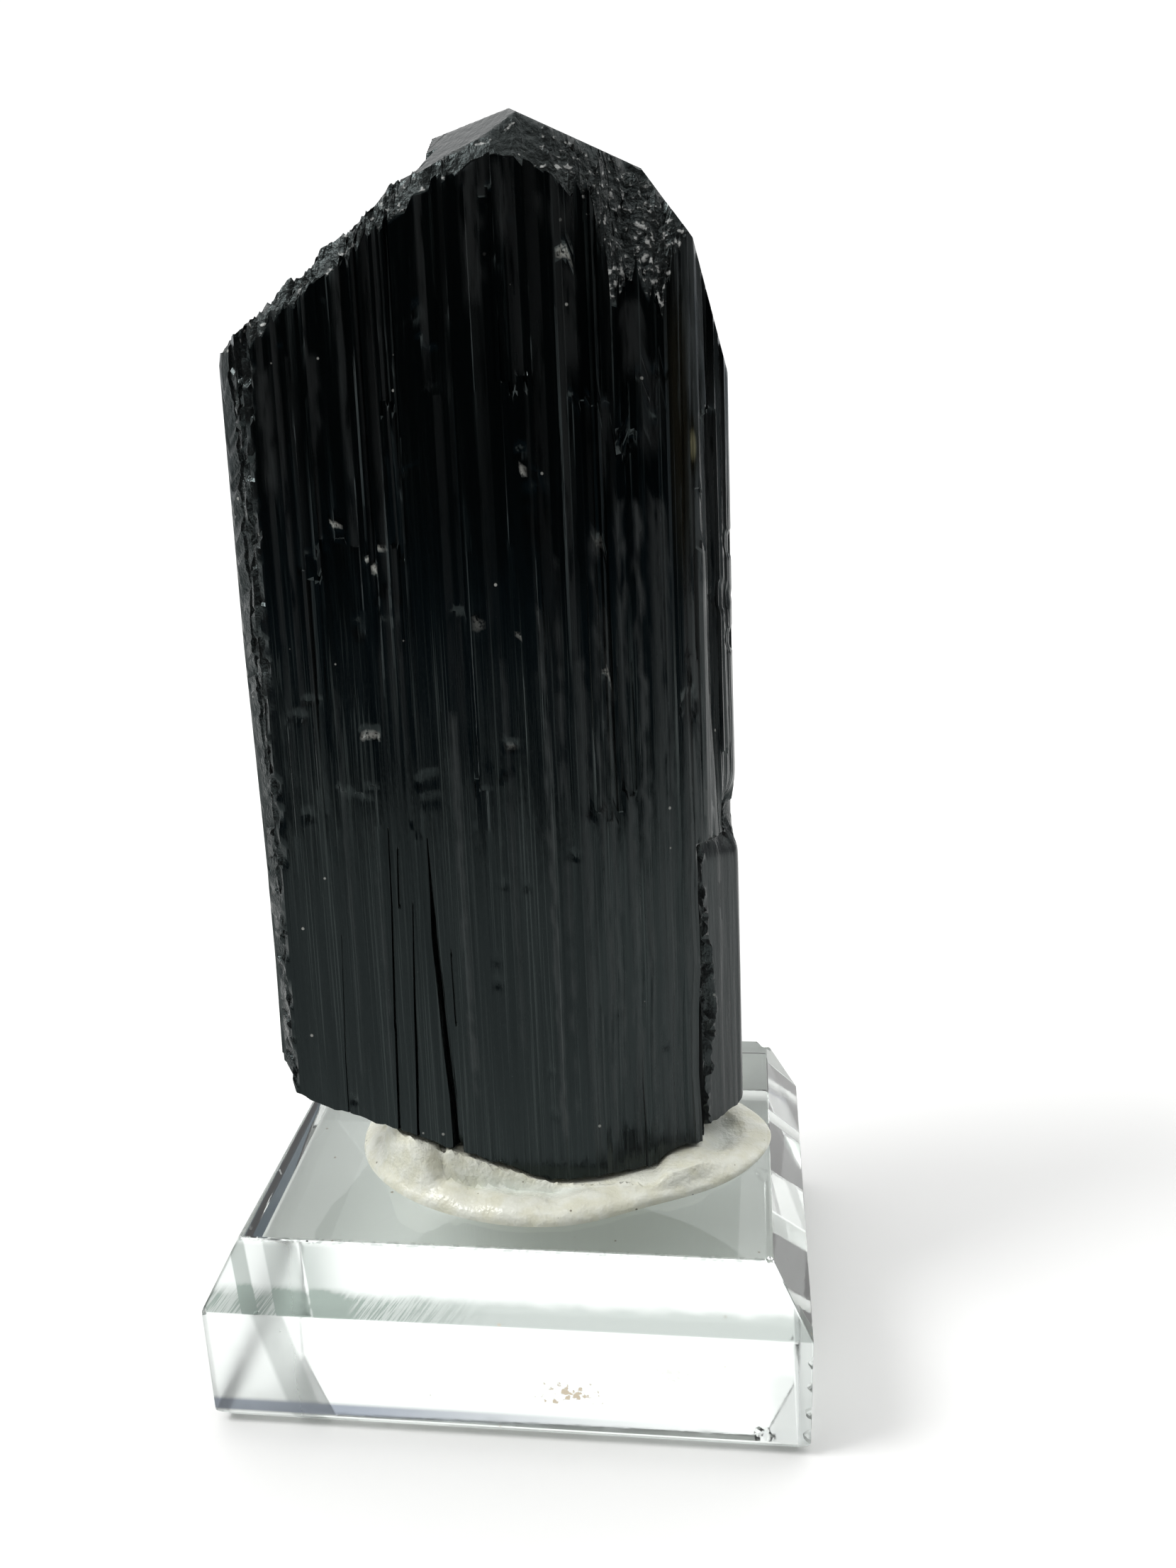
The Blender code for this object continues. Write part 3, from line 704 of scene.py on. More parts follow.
def fine_ribs():
    """Columns of the mesh, two to a fine rib: distance, depth and the number of its rib."""
    draw = random.Random(FINE_SEED)
    columns = []
    for start, end, wide_depth in wide_ribs():
        at = start
        while at < end - SHORTEST_RIB:
            middle, _ = on_section(np.array(at))
            on_flat = middle[1] < FLAT_DEPTH_FINE
            low, high = FINE_WIDTH_FRONT if at < FRONT_END else FINE_WIDTH_BACK
            width = min(draw.uniform(low, high), end - at)
            if end - at - width < low:
                width = end - at
            depth = wide_depth + draw.random() ** 2 * (FINE_DEPTH_FLAT if on_flat else FINE_DEPTH_ROUND)
            tilt = draw.gauss(0.0, FINE_TILT_FLAT if on_flat else FINE_TILT_ROUND) * width / high
            if draw.random() < FINE_RARE_SHARE:
                tilt *= FINE_TILT_RARE
            rib = len(columns) // 2
            columns.append((at, depth + tilt, rib))
            columns.append((at + width - FINE_FLANK, depth - tilt, rib))
            at += width
    return columns


rib_columns = fine_ribs()
print("fine ribs:", len(rib_columns) // 2)

# %% [markdown]
# ## Gashes and the crack
# A few black gashes open towards the foot, and a crack runs down the right side. A column
# of the mesh is laid along each edge of a gash, so the edges stay sharp, and its neighbours
# are drawn along with it. Paths are pairs of height and x, in millimetres.

# %% Gashes
CRACK_LEFT = (
    (1.0, 16.1), (5.0, 16.1), (9.0, 15.95), (15.0, 16.1), (19.0, 16.35), (25.0, 16.25), (29.5, 16.4),
)
CRACK_RIGHT = (
    (1.0, 16.5), (5.0, 16.4), (9.0, 16.3), (15.0, 16.35), (19.0, 16.7), (25.0, 16.5), (29.5, 16.6),
)
WIDE_GASH_LEFT = (
    (0.5, -5.2), (4.8, -5.0), (8.6, -5.05), (13.5, -5.35),
    (20.0, -5.6), (23.0, -5.72), (26.4, -5.62), (31.0, -5.6),
)
WIDE_GASH_RIGHT = (
    (0.5, -4.0), (4.6, -4.1), (8.6, -4.3), (13.5, -4.62),
    (20.0, -5.0), (23.0, -5.15), (26.4, -5.35), (31.0, -5.5),
)
GASHES = (
    # left edge, right edge, depth, lowest point of the opening
    (WIDE_GASH_LEFT, WIDE_GASH_RIGHT, 1.1, 0.0),
    (((0.5, -8.15), (5.9, -8.05), (11.8, -7.78), (18.1, -7.55), (25.6, -7.15)),
     ((0.5, -7.9), (5.9, -7.8), (11.8, -7.5), (18.1, -7.33), (25.6, -7.06)), 0.8, 0.0),
    (((2.0, -9.85), (6.6, -9.67), (14.6, -9.4), (15.1, -9.43), (25.7, -8.95), (32.0, -8.8)),
     ((2.0, -9.6), (6.6, -9.42), (14.6, -9.15), (15.1, -9.18), (25.7, -8.8), (32.0, -8.7)), 0.7, 1.0),
    (((0.5, -9.0), (15.0, -8.6), (25.5, -8.36), (28.0, -8.26), (30.5, -8.14)),
     ((0.5, -8.8), (15.0, -8.4), (25.5, -8.14), (28.0, -8.06), (30.5, -7.98)), 0.5, 25.5),
    (((0.5, -3.6), (8.6, -3.95), (15.1, -4.17), (18.3, -4.19), (21.5, -4.2)),
     ((0.5, -3.4), (8.6, -3.75), (15.1, -3.98), (18.3, -4.0), (21.5, -4.06)), 0.5, 15.1),
    (((6.0, -14.0), (12.0, -13.9), (23.0, -13.4)),
     ((6.0, -13.8), (12.0, -13.75), (23.0, -13.32)), 0.3, 6.0),
    (CRACK_LEFT, CRACK_RIGHT, 1.0, 0.0),
)
GASH_CLEARANCE = 0.12
GASH_FLOOR_SHARES = (0.34, 0.66)
GASH_NARROW = 0.3
GASH_MARGIN = 0.08
GASH_FULL_WIDTH = 0.45
EDGE_OF_GASH = -100
print("gashes:", len(GASHES))


# %% Columns with the gashes laid in
def path_at(path, height):
    heights, places = zip(*path)
    return np.interp(height, heights, places)


def mixed_path(left, right, share):
    """A path part of the way from the left edge to the right edge."""
    return tuple((height, x + (path_at(right, height) - x) * share) for height, x in left)


def gash_columns(columns):
    """Clear the ribs where a gash lies and put four columns there instead."""
    guides = []
    floors = {}
    for left, right, depth, lowest in GASHES:
        rest_left, rest_right = left[0][1], right[0][1]
        if rest_right - rest_left < GASH_NARROW:
            rest_left -= GASH_MARGIN
            rest_right += GASH_MARGIN
        low, high = front_distance(rest_left), front_distance(rest_right)
        depth_here = [column[1] for column in columns if column[0] < low][-1]
        columns = [each for each in columns if not low - GASH_CLEARANCE < each[0] < high + GASH_CLEARANCE]
        rib = -1 - len(floors)
        for share in (0.0, *GASH_FLOOR_SHARES, 1.0):
            rest = front_distance(rest_left + (rest_right - rest_left) * share)
            guides.append((float(rest), mixed_path(left, right, share)))
            columns.append((float(rest), depth_here, rib if 0.0 < share < 1.0 else EDGE_OF_GASH))
        floors[rib] = (left, right, depth, lowest)
    return sorted(columns), sorted(guides), floors


columns, gash_guides, gash_floors = gash_columns(rib_columns)
COLUMN_REST, COLUMN_DEPTH, COLUMN_RIB = (np.array(values) for values in zip(*columns))
COLUMN_COUNT = len(columns)
print("columns round the prism:", COLUMN_COUNT)

# %% [markdown]
# ## Tip and foot
# The tip is a low pyramid of flat faces. Its upper left corner is broken off in a rough
# slope, and a steep frosted apron joins the flat faces to the tops of the ribs. The foot is
# a broken face that rises to the left. All are height functions: the side of the prism ends
# where it meets them, and the same function shapes the cap.

# %% Heights of the tip
TIP_FACES = (
    # point, slope to the right, slope to the back
    ((4.1, 1.7, 86.28), 0.413, 0.80),
    ((4.1, 1.7, 86.98), 0.237, 0.10),
    ((4.1, 1.7, 86.53), -0.500, 2.0),
    ((4.1, 1.7, 86.53), -0.500, 0.20),
    ((3.6, 9.5, 87.9), 0.226, -0.464),
    ((13.43, 4.2, 82.49), -1.40, 0.55),
    ((13.43, 4.2, 82.49), -1.40, 0.10),
    ((17.17, 4.2, 77.3), -4.0, 0.0),
)
BREAK_LEFT_EDGE = -19.5
BREAK_LEFT_HEIGHT = 70.7
BREAK_SLOPE = 0.75
BREAK_RISE_BACK = 0.10
BREAK_RIGHT_EDGE = -2.9
BREAK_WALL = 0.5
BREAK_STEP = 7.0
RIM = (
    # x and height of the tops of the ribs
    (-20.4, 69.3), (-19.0, 69.8), (-17.1, 70.8), (-14.7, 72.6), (-12.3, 74.1), (-10.0, 75.8),
    (-7.6, 77.5), (-5.3, 78.9), (-3.0, 81.1), (-1.1, 81.6), (0.3, 82.1), (1.1, 82.6), (2.5, 83.1),
    (4.3, 82.6), (5.0, 81.6), (6.9, 81.2), (7.8, 80.4), (8.6, 79.6), (9.3, 78.6), (10.2, 77.9),
    (10.6, 75.8), (10.9, 74.2), (12.0, 73.3), (13.4, 74.2), (14.7, 74.0), (15.5, 76.0),
    (16.3, 76.6), (17.2, 78.5), (18.0, 95.0),
)
APRON_SLOPES = (
    # x and how steeply the bevel rises to the back
    (-4.0, 2.6), (-2.0, 3.3), (0.0, 2.5), (3.2, 2.2), (5.0, 2.2), (8.0, 2.0), (10.5, 2.1), (12.0, 1.9),
)
RIM_RAG = 0.5


def flat_tip_height(x, y):
    faces = [place[2] + right * (x - place[0]) + back * (y - place[1]) for place, right, back in TIP_FACES]
    return np.minimum.reduce(faces)


def break_height(x, y):
    height = BREAK_LEFT_HEIGHT + BREAK_SLOPE * (x - BREAK_LEFT_EDGE) + BREAK_RISE_BACK * y
    return height + BREAK_STEP * between(BREAK_RIGHT_EDGE, BREAK_RIGHT_EDGE + BREAK_WALL, x)


def apron_height(x, y):
    return path_at(RIM, x) + path_at(APRON_SLOPES, x) * (y - front_depth(x))


print("tip at its highest:", round(float(flat_tip_height(3.6, 8.5)), 1), "mm above the foot")

# %% Height of the foot
FOOT_LOW = 1.25
FOOT_LEVEL_START = 3.3
FOOT_LEFT_SLOPE = 0.34
FOOT_BACK_SLOPE = 0.14
FOOT_CORNER_START = -16.6
FOOT_CORNER_GAIN = 0.22
FOOT_CORNER_POWER = 1.6
FOOT_RIGHT_START = 18.9
FOOT_RIGHT_GAIN = 0.6
FOOT_STEP_PLACE = 12.2
FOOT_STEP_WIDTH = 0.8
FOOT_STEP = 0.8


def foot_height(x, y):
    height = FOOT_LOW + FOOT_BACK_SLOPE * y
    height = height + FOOT_LEFT_SLOPE * np.maximum(0.0, FOOT_LEVEL_START - x)
    height = height + FOOT_CORNER_GAIN * np.maximum(0.0, FOOT_CORNER_START - x) ** FOOT_CORNER_POWER
    height = height + FOOT_RIGHT_GAIN * np.maximum(0.0, x - FOOT_RIGHT_START)
    return height + FOOT_STEP * np.clip((x - FOOT_STEP_PLACE) / FOOT_STEP_WIDTH, 0.0, 1.0)


foot_heights_now = [round(float(foot_height(x, 0.0)), 1) for x in (0.0, -19.0)]
print("foot in front and at the left:", foot_heights_now, "mm")

# %% [markdown]
# ## Ledges across the ribs
# Ribs don't run the whole length: groups of them stop at small ledges, most of all in the
# upper half, and between two ledges a group leans a little in or out. That's why the dark
# upper half turns grey at a different height in each group. Rows of the mesh are moved
# close together at a ledge, so that it stays a ledge and not a ramp.

# %% Runs of the rib groups
RUN_SEED = 41
GROUP_RIBS = (2, 7)
LEDGE_COUNTS = (0, 1, 1, 2, 2, 3)
LEDGE_HEIGHTS = (30.0, 84.0)
LEDGE_JITTER = 0.7
LEDGE_HALF_WIDTH = 0.05
RUN_LEVEL = 0.05
RUN_LEAN = 0.016
RUN_DEPTH_LIMIT = 0.24
CALM_BELOW = 26.0
CALM_ABOVE = 48.0
DUSTY_SHARE = 0.28
LAST_STOP = 88.0


def rib_runs(rib_total):
    """For each fine rib: its ledges' heights, and each run's level, lean and dust."""
    draw = random.Random(RUN_SEED)
    ribs = []
    while len(ribs) < rib_total:
        ledges = sorted(draw.uniform(*LEDGE_HEIGHTS) for _ in range(draw.choice(LEDGE_COUNTS)))
        levels = [draw.uniform(0.0, RUN_LEVEL) for _ in range(len(ledges) + 1)]
        leans = [draw.gauss(0.0, RUN_LEAN) for _ in levels]
        for _ in range(draw.randint(*GROUP_RIBS)):
            own_ledges = sorted(ledge + draw.uniform(-LEDGE_JITTER, LEDGE_JITTER) for ledge in ledges)
            own_leans = [lean + draw.gauss(0.0, RUN_LEAN / 4) for lean in leans]
            dust = [draw.random() if draw.random() < DUSTY_SHARE else 0.0 for _ in levels]
            ribs.append((own_ledges, levels, own_leans, dust))
    return ribs[:rib_total]


RIB_RUNS = rib_runs(len(rib_columns) // 2)


def run_depth_and_dust(heights):
    """Depth and dust of the rib runs at each ring and column."""
    depth = np.zeros_like(heights)
    dust = np.zeros_like(heights)
    for column, rib in enumerate(COLUMN_RIB):
        if rib < 0:
            continue
        ledges, levels, leans, run_dust = RIB_RUNS[rib]
        height = heights[:, column]
        run = np.searchsorted(ledges, height)
        stops = np.array([0.0, *ledges, LAST_STOP])
        middle = (stops[run] + stops[run + 1]) / 2
        lean = np.array(leans)[run] * (height - middle)
        depth[:, column] = np.array(levels)[run] + np.clip(lean, -RUN_DEPTH_LIMIT, RUN_DEPTH_LIMIT)
        dust[:, column] = np.array(run_dust)[run]
    return depth, dust


print("ledges on ribs:", sum(len(ledges) for ledges, *_ in RIB_RUNS))

# %% [markdown]
# ## Pits, ledges, dust and rough places
# These are given one by one: a pit has a middle on the front face, a size, a depth and how
# pale it is, partly pale crumbs and partly painted highlight, and a negative depth makes a
# small lump of it. A shelf is a short ledge, and a dusty column is a stretch of one rib that
# dust has dulled. The rough zones are the broken strip at the left, the crack with the small
# facet beside it, and one notch.

# %% Marks on the front
MARKS = (
    # x, height, half width, half height, depth, paleness: pale crumbs and painted highlight
    (7.6, 76.2, 0.62, 0.42, 0.34, 1.0),
    (7.5, 74.0, 0.4, 1.7, 0.06, 0.25),
    (4.2, 80.6, 0.4, 0.35, -0.10, 0.12),
    (3.9, 78.9, 0.45, 0.4, -0.08, 0.15),
    (4.1, 79.8, 0.4, 0.3, -0.08, 0.10),
    (-3.8, 72.3, 0.4, 0.8, 0.16, 0.10),
    (-4.9, 60.5, 0.6, 0.4, 0.16, 0.32),
    (3.7, 61.5, 0.5, 0.6, 0.22, 0.15),
    (11.7, 62.2, 0.7, 0.9, 0.35, 0.15),
    (13.7, 63.1, 0.4, 1.1, 0.20, 0.15),
    (4.9, 57.5, 0.8, 2.3, 0.12, 0.30),
    (9.5, 54.6, 0.4, 0.6, 0.16, 0.4),
    (-7.7, 54.8, 0.24, 0.24, -0.12, 1.0),
    (-9.0, 54.0, 0.30, 0.16, -0.10, 0.8),
    (-8.4, 53.2, 0.22, 0.30, -0.10, 0.9),
    (-7.4, 50.2, 0.8, 1.3, -0.08, 0.15),
    (-11.4, 56.8, 0.2, 0.22, -0.10, 0.9),
    (-2.5, 50.6, 0.6, 0.5, -0.08, 0.2),
    (-0.4, 48.6, 0.35, 0.6, -0.12, 0.4),
    (2.9, 47.3, 0.2, 0.35, -0.12, 0.8),
    (3.8, 60.2, 0.18, 0.3, -0.08, 0.7),
    (9.6, 44.4, 0.25, 0.3, -0.10, 0.8),
    (-10.0, 48.6, 0.4, 0.8, 0.10, 0.2),
    (-5.6, 36.0, 0.5, 0.6, 0.10, 0.03),
    (-5.4, 34.4, 0.4, 0.5, 0.07, 0.0),
    (-15.5, 33.4, 0.45, 0.4, 0.12, 0.0),
    (1.8, 38.9, 0.6, 0.25, 0.12, 0.4),
    (6.6, 29.6, 0.25, 0.3, 0.06, 0.0),
    (0.7, 27.4, 0.3, 0.3, 0.05, 0.0),
    (2.6, 27.2, 0.3, 0.3, 0.06, 0.0),
    (-0.4, 20.9, 0.3, 0.4, 0.07, 0.0),
    (-0.3, 18.9, 0.4, 0.5, 0.09, 0.1),
    (3.8, 11.0, 0.3, 0.3, 0.07, 0.0),
    (9.7, 16.0, 0.4, 0.4, 0.08, 0.0),
    (13.3, 12.2, 0.35, 0.4, 0.09, 0.0),
    (4.0, 7.2, 0.4, 0.5, 0.07, 0.0),
    (16.0, 41.2, 0.6, 1.3, 0.16, 0.2),
    (-13.4, 8.4, 0.3, 0.35, 0.16, 0.0),
    (-13.2, 5.9, 0.5, 0.4, 0.20, 0.1),
    (18.9, 49.5, 0.6, 1.3, 0.20, 0.2),
    (19.6, 45.8, 0.5, 0.9, 0.20, 0.2),
    (19.6, 54.0, 0.5, 1.0, 0.20, 0.2),
)
SHELVES = (
    # left, right, height of the ledge, reach upwards, depth, paleness of the ledge: pale crumbs and painted
    # highlight
    (-10.5, -8.9, 39.9, 0.8, 0.18, 0.6),
    (-15.2, -13.6, 42.6, 0.8, 0.12, 0.2),
    (-16.1, -14.9, 41.3, 0.9, 0.12, 0.15),
    (12.8, 15.0, 66.9, 0.9, 0.16, 0.2),
)
DUSTY_COLUMNS = (
    # left, right, lowest, highest, share of dust
    (0.2, 1.35, 71.5, 84.0, 0.36),
    (2.8, 3.6, 76.0, 83.0, 0.32),
    (5.6, 6.3, 77.5, 81.0, 0.28),
    (7.0, 8.6, 76.3, 80.5, 0.32),
    (7.3, 8.4, 66.5, 75.5, 0.32),
    (11.8, 13.2, 66.5, 73.0, 0.40),
    (13.0, 14.2, 60.5, 68.5, 0.36),
    (15.8, 17.2, 62.0, 75.5, 0.36),
    (-16.6, -15.9, 58.0, 69.0, 0.4),
    (-12.6, -12.0, 62.0, 70.0, 0.3),
    (9.9, 10.6, 58.0, 66.0, 0.3),
    (4.5, 4.9, 4.0, 50.0, 0.8),
    (5.9, 6.1, 6.0, 54.0, 0.7),
    (7.2, 7.9, 2.0, 46.0, 0.5),
    (8.9, 9.2, 3.0, 56.0, 0.85),
    (9.7, 10.0, 8.0, 50.0, 0.7),
    (10.9, 11.4, 2.0, 58.0, 0.7),
    (12.2, 12.5, 3.0, 58.0, 0.95),
    (13.2, 14.6, 2.0, 58.0, 0.55),
    (-2.9, -2.7, 8.0, 42.0, 0.85),
    (-9.9, -9.75, 10.0, 34.0, 0.5),
    (-12.4, -12.2, 6.0, 44.0, 0.4),
    (1.4, 1.6, 12.0, 46.0, 0.4),
)
SIDE_COLUMN_LEFT = ((20.0, 15.1), (31.0, 15.4), (57.0, 16.1), (80.0, 16.5))
SIDE_COLUMN_RIGHT = ((20.0, 17.0), (31.0, 17.5), (57.0, 18.0), (80.0, 18.3))
SIDE_COLUMN_DUST = ((20.0, 1.0), (50.0, 1.0), (62.0, 0.55), (85.0, 0.35))
EDGE_DUST = 0.5
EDGE_DUST_END = (60.0, 72.0)
DUST_WAVER = 0.25
DUST_SIDE = (0.2, 0.15)
BROAD_DUST_LEFT = (0.2, 0.3)
BROAD_DUST_RIGHT = (0.1, 0.15)
DUST_RISE = 2.5
DUST_FALL = 0.8
MARK_EDGE = (0.3, 1.6)
MARK_RAG = 0.8
SHELF_SIDE = 0.2
SHELF_LIP = 0.3
FAINTEST_PALE = 0.3
FRONT_LIMIT = 25.0


def hand_marks(x, height):
    """Depth of the pits, lumps and shelves, and how light their surface is: partly light crumbs and partly
    painted highlight.
    """
    depth = np.zeros_like(x)
    pale_and_highlight = np.zeros_like(x)
    ragged = 1 + MARK_RAG * stretched_lumps(np.minimum(x, FRONT_LIMIT), height, 0.45, 0.6, 14.0)
    for mark_x, mark_height, half_width, half_height, mark_depth, paleness_and_highlight in MARKS:
        reach = (((x - mark_x) / half_width) ** 2 + ((height - mark_height) / half_height) ** 2) * ragged
        inside = 1 - between(*MARK_EDGE, reach)
        depth += mark_depth * inside
        pale_and_highlight = np.maximum(pale_and_highlight, paleness_and_highlight * inside)
    for left, right, ledge, reach, shelf_depth, paleness_and_highlight in SHELVES:
        across = span(x, left - SHELF_SIDE, left + SHELF_SIDE, right - SHELF_SIDE, right + SHELF_SIDE)
        above = (height > ledge) * (1 - between(0.0, reach, height - ledge))
        depth += shelf_depth * across * above
        pale_and_highlight = np.maximum(pale_and_highlight, paleness_and_highlight * across * (np.abs(height - ledge) < SHELF_LIP))
    return depth, np.clip((pale_and_highlight - FAINTEST_PALE) / (1 - FAINTEST_PALE), 0.0, 1.0)


def column_dust(x, height):
    """The dusty columns, with wavering edges, the broad one at the right and the strip past it."""
    dust = np.zeros_like(x)
    outer, inner = DUST_SIDE
    wavering = x + DUST_WAVER * stretched_lumps(np.minimum(x, FRONT_LIMIT), height, 1.0, 1.6, 15.0)
    for left, right, low, high, share in DUSTY_COLUMNS:
        across = span(wavering, left - outer, left + inner, right - inner, right + outer)
        along = span(height, low, low + DUST_RISE, high - DUST_FALL, high)
        dust = np.maximum(dust, share * across * along)
    left, right = path_at(SIDE_COLUMN_LEFT, height), path_at(SIDE_COLUMN_RIGHT, height)
    enter = between(left - BROAD_DUST_LEFT[0], left + BROAD_DUST_LEFT[1], x)
    leave = between(right - BROAD_DUST_RIGHT[0], right + BROAD_DUST_RIGHT[1], x)
    side = path_at(SIDE_COLUMN_DUST, height) * enter * (1 - leave)
    edge = leave * (x < FRONT_LIMIT) * (1 - between(*EDGE_DUST_END, height))
    return np.maximum.reduce([dust, side, EDGE_DUST * edge])


print("marks placed by hand:", len(MARKS) + len(SHELVES))


# %% Grains and rough zones
STRIP_EDGE = (
    (18.0, -18.6), (27.4, -18.3), (36.4, -18.2), (48.0, -18.0), (59.2, -17.7), (66.8, -17.3), (75.0, -17.0),
)
STRIP_WANDER = 0.45
STRIP_ROUND_CORNER = (1.0, 2.4)
CRACK_RAGGED = (
    (1.0, 17.3), (3.0, 17.6), (9.0, 17.7), (15.0, 18.1), (19.0, 17.9), (25.0, 17.6), (29.5, 17.5),
)
CRACK_WANDER = 0.25
CRACK_START = (16.3, 16.5)
FACET_TOP = 29.4
FACET_RISE = 0.30
FACET_CUT = 1.5
FACET_CUT_START = 17.2
FACET_CUT_REACH = 6.0
NOTCH_PLACE = (19.3, 30.6)
NOTCH_SIZE = (1.6, 1.9)
GRAIN_STRETCH = 0.5


def grains(points, size, seed, stretch=1.0):
    """Rounded grains, 0 between them and up to 1 on top; a stretch under 1 makes them tall."""
    shift = Vector((seed, seed * 2.0, seed * 3.0))
    factor = Vector((1.0, 1.0, stretch)) / size
    nearest = [noise.voronoi(Vector(point) * factor + shift)[0][0] for point in points]
    return 1.0 - np.clip(np.array(nearest) * 1.5, 0.0, 1.0)


def facets(points, size, seed, stretch=1.0):
    """Flat chips at odd angles, -1 to 1: every cell has a plane of its own."""
    shift = Vector((seed, seed * 2.0, seed * 3.0))
    factor = Vector((1.0, 1.0, stretch)) / size
    values = []
    for point in points:
        place = Vector(point) * factor + shift
        middle = noise.voronoi(place)[1][0]
        lean = noise.cell_vector(middle * 7.0) * 2.0 - Vector((1.0, 1.0, 1.0))
        values.append(1.6 * (place - middle).dot(lean) + noise.cell(middle * 5.0) - 0.5)
    return np.clip(np.array(values), -1.0, 1.0)


def masked(pattern, mask, x, y, z, size, seed, stretch=1.0):
    """A pattern worked out only where the mask isn't empty, because it takes time."""
    values = np.zeros(mask.shape)
    busy = mask > 0.02
    values[busy] = pattern(np.stack([x[busy], y[busy], z[busy]], axis=1), size, seed, stretch)
    return values


def stretched_lumps(distance, height, width, length, seed):
    """Smooth noise on the unrolled side, with lumps of this width and length in millimetres."""
    points = np.stack([distance.ravel() / width, height.ravel() / length, np.zeros(distance.size)], axis=1)
    return lumps(points, 1.0, seed).reshape(distance.shape)


def rough_zones(distance, height, x):
    """How much of the left strip, the crack's rough side, the facet and the notch is here."""
    in_front = distance < FRONT_END
    nowhere = np.zeros_like(height)
    strip_line = path_at(STRIP_EDGE, height) + STRIP_WANDER * stretched_lumps(nowhere, height, 1.0, 1.4, 9.0)
    strip = (1 - between(-0.1, 0.2, x - strip_line)) * in_front
    from_corner = PERIMETER - distance
    strip = np.maximum(strip, (1 - between(*STRIP_ROUND_CORNER, from_corner)) * (distance > FRONT_END))
    patches = between(-0.2, 0.4, stretched_lumps(distance, height, 3.0, 4.0, 4.0))
    strip = strip * (0.6 + 0.4 * patches)
    crack_waver = CRACK_WANDER * stretched_lumps(nowhere, height, 1.0, 0.9, 8.0)
    ragged_line = path_at(CRACK_RAGGED, height) + crack_waver
    low = 1 - between(FACET_TOP - 0.5, FACET_TOP, height)
    crack = between(*CRACK_START, x) * (1 - between(-0.1, 0.1, x - ragged_line)) * low * in_front
    facet = between(-0.1, 0.15, x - ragged_line) * low * in_front
    notch = swell(distance, front_distance(NOTCH_PLACE[0]), NOTCH_SIZE[0])
    return strip, crack, facet, notch * swell(height, NOTCH_PLACE[1], NOTCH_SIZE[1])


print("facet at the right ends", FACET_TOP, "mm up")

# %% [markdown]
# ## From a ball to the crystal
# The mesh starts as a ball primitive. Its rings are laid out as the foot's cap, the sides
# and the tip's cap, and its segments as the columns along the outline. That keeps one
# closed skin with no holes to mend, and no edit-mode operator could place a hundred
# thousand points one by one, so the points are moved in code, the way a sculptor would.

# %% The ball
TRIANGLE_LIMIT = 196000
FOOT_RINGS = 14
TIP_RINGS = 56
RING_COUNT = TRIANGLE_LIMIT // (2 * COLUMN_COUNT)
SIDE_RINGS = RING_COUNT - FOOT_RINGS - TIP_RINGS

deselect_all()
bpy.ops.mesh.primitive_uv_sphere_add(segments=COLUMN_COUNT, ring_count=RING_COUNT, radius=1.0)
crystal = bpy.context.object
crystal.name = "crystal"
ball = points_of(crystal)
ring_of = np.rint((1 - np.arccos(np.clip(ball[:, 2], -1, 1)) / math.pi) * RING_COUNT).astype(int)
angle_of = np.arctan2(ball[:, 1], ball[:, 0])
column_step = 2 * math.pi / COLUMN_COUNT
first_angle = angle_of[ring_of == RING_COUNT // 2].min()
column_of = np.rint((angle_of - first_angle) / column_step).astype(int) % COLUMN_COUNT
print("ball:", len(ball), "points,", SIDE_RINGS, "rings on the sides")

# %% Columns bent round the gashes
STILL_START = 0.4
STILL_PLACES = (-12.0, 2.0)


def column_distances(heights):
    """Distance along the outline for each ring and column, bent to follow the gashes."""
    still = [STILL_START, FRONT_END, PERIMETER, *(float(front_distance(x)) for x in STILL_PLACES)]
    guides = sorted([*((rest, None) for rest in still), *gash_guides], key=lambda guide: guide[0])
    rests = np.array([rest for rest, _ in guides])
    slot = np.clip(np.searchsorted(rests, COLUMN_REST, side="right") - 1, 0, len(rests) - 2)
    share = np.clip((COLUMN_REST - rests[slot]) / np.maximum(rests[slot + 1] - rests[slot], 1e-6), 0.0, 1.0)
    distances = np.empty_like(heights)
    for column in range(COLUMN_COUNT):
        shifts = []
        for rest, path in guides[slot[column]:slot[column] + 2]:
            follow = 0.0 if path is None else front_distance(path_at(path, heights[:, column])) - rest
            shifts.append(follow)
        distances[:, column] = COLUMN_REST[column] + shifts[0] + (shifts[1] - shifts[0]) * share[column]
    return distances


def gash_depth(heights):
    depth = np.zeros_like(heights)
    for column, rib in enumerate(COLUMN_RIB):
        if rib in gash_floors:
            left, right, full, lowest = gash_floors[rib]
            height = heights[:, column]
            gap = path_at(right, height) - path_at(left, height)
            inside = (height <= left[-1][0]) & (height >= lowest)
            depth[:, column] = full * np.clip(gap / GASH_FULL_WIDTH, 0.0, 1.0) * inside
    return depth


# %% Shape of the sides
DRIFT_DEPTH = 0.05
RIPPLE_DEPTH = 0.015
BLOTCH_DEPTH = 0.02
STRIP_DEPTH = 0.34
STRIP_CUT = 0.25
STRIP_GRAIN = 0.30
CRACK_FLOOR = 0.45
CRACK_GRAIN = 0.34
NOTCH_DEPTH = 1.4
STAND_IN = 0.03
FLAT_DEPTH = 0.8
FLAT_FADE = (0.30, 0.55)
ROUND_FADE = (0.22, 0.80)
FLAT_CALM = (0.10, 1.0)
ROUND_CALM = 0.7
BLOTCH_SPAN = (34.0, 42.0, 60.0, 72.0)
BLOTCH_RIGHT = 6.0
WARM_PLACE = (15.9, 0.8)
WARM_SPAN = (46.0, 58.0, 68.0, 76.0)
GOLD_HIGHLIGHT_PLACE = (16.9, 61.8)
GOLD_HIGHLIGHT_REACH = (0.35, 1.9)
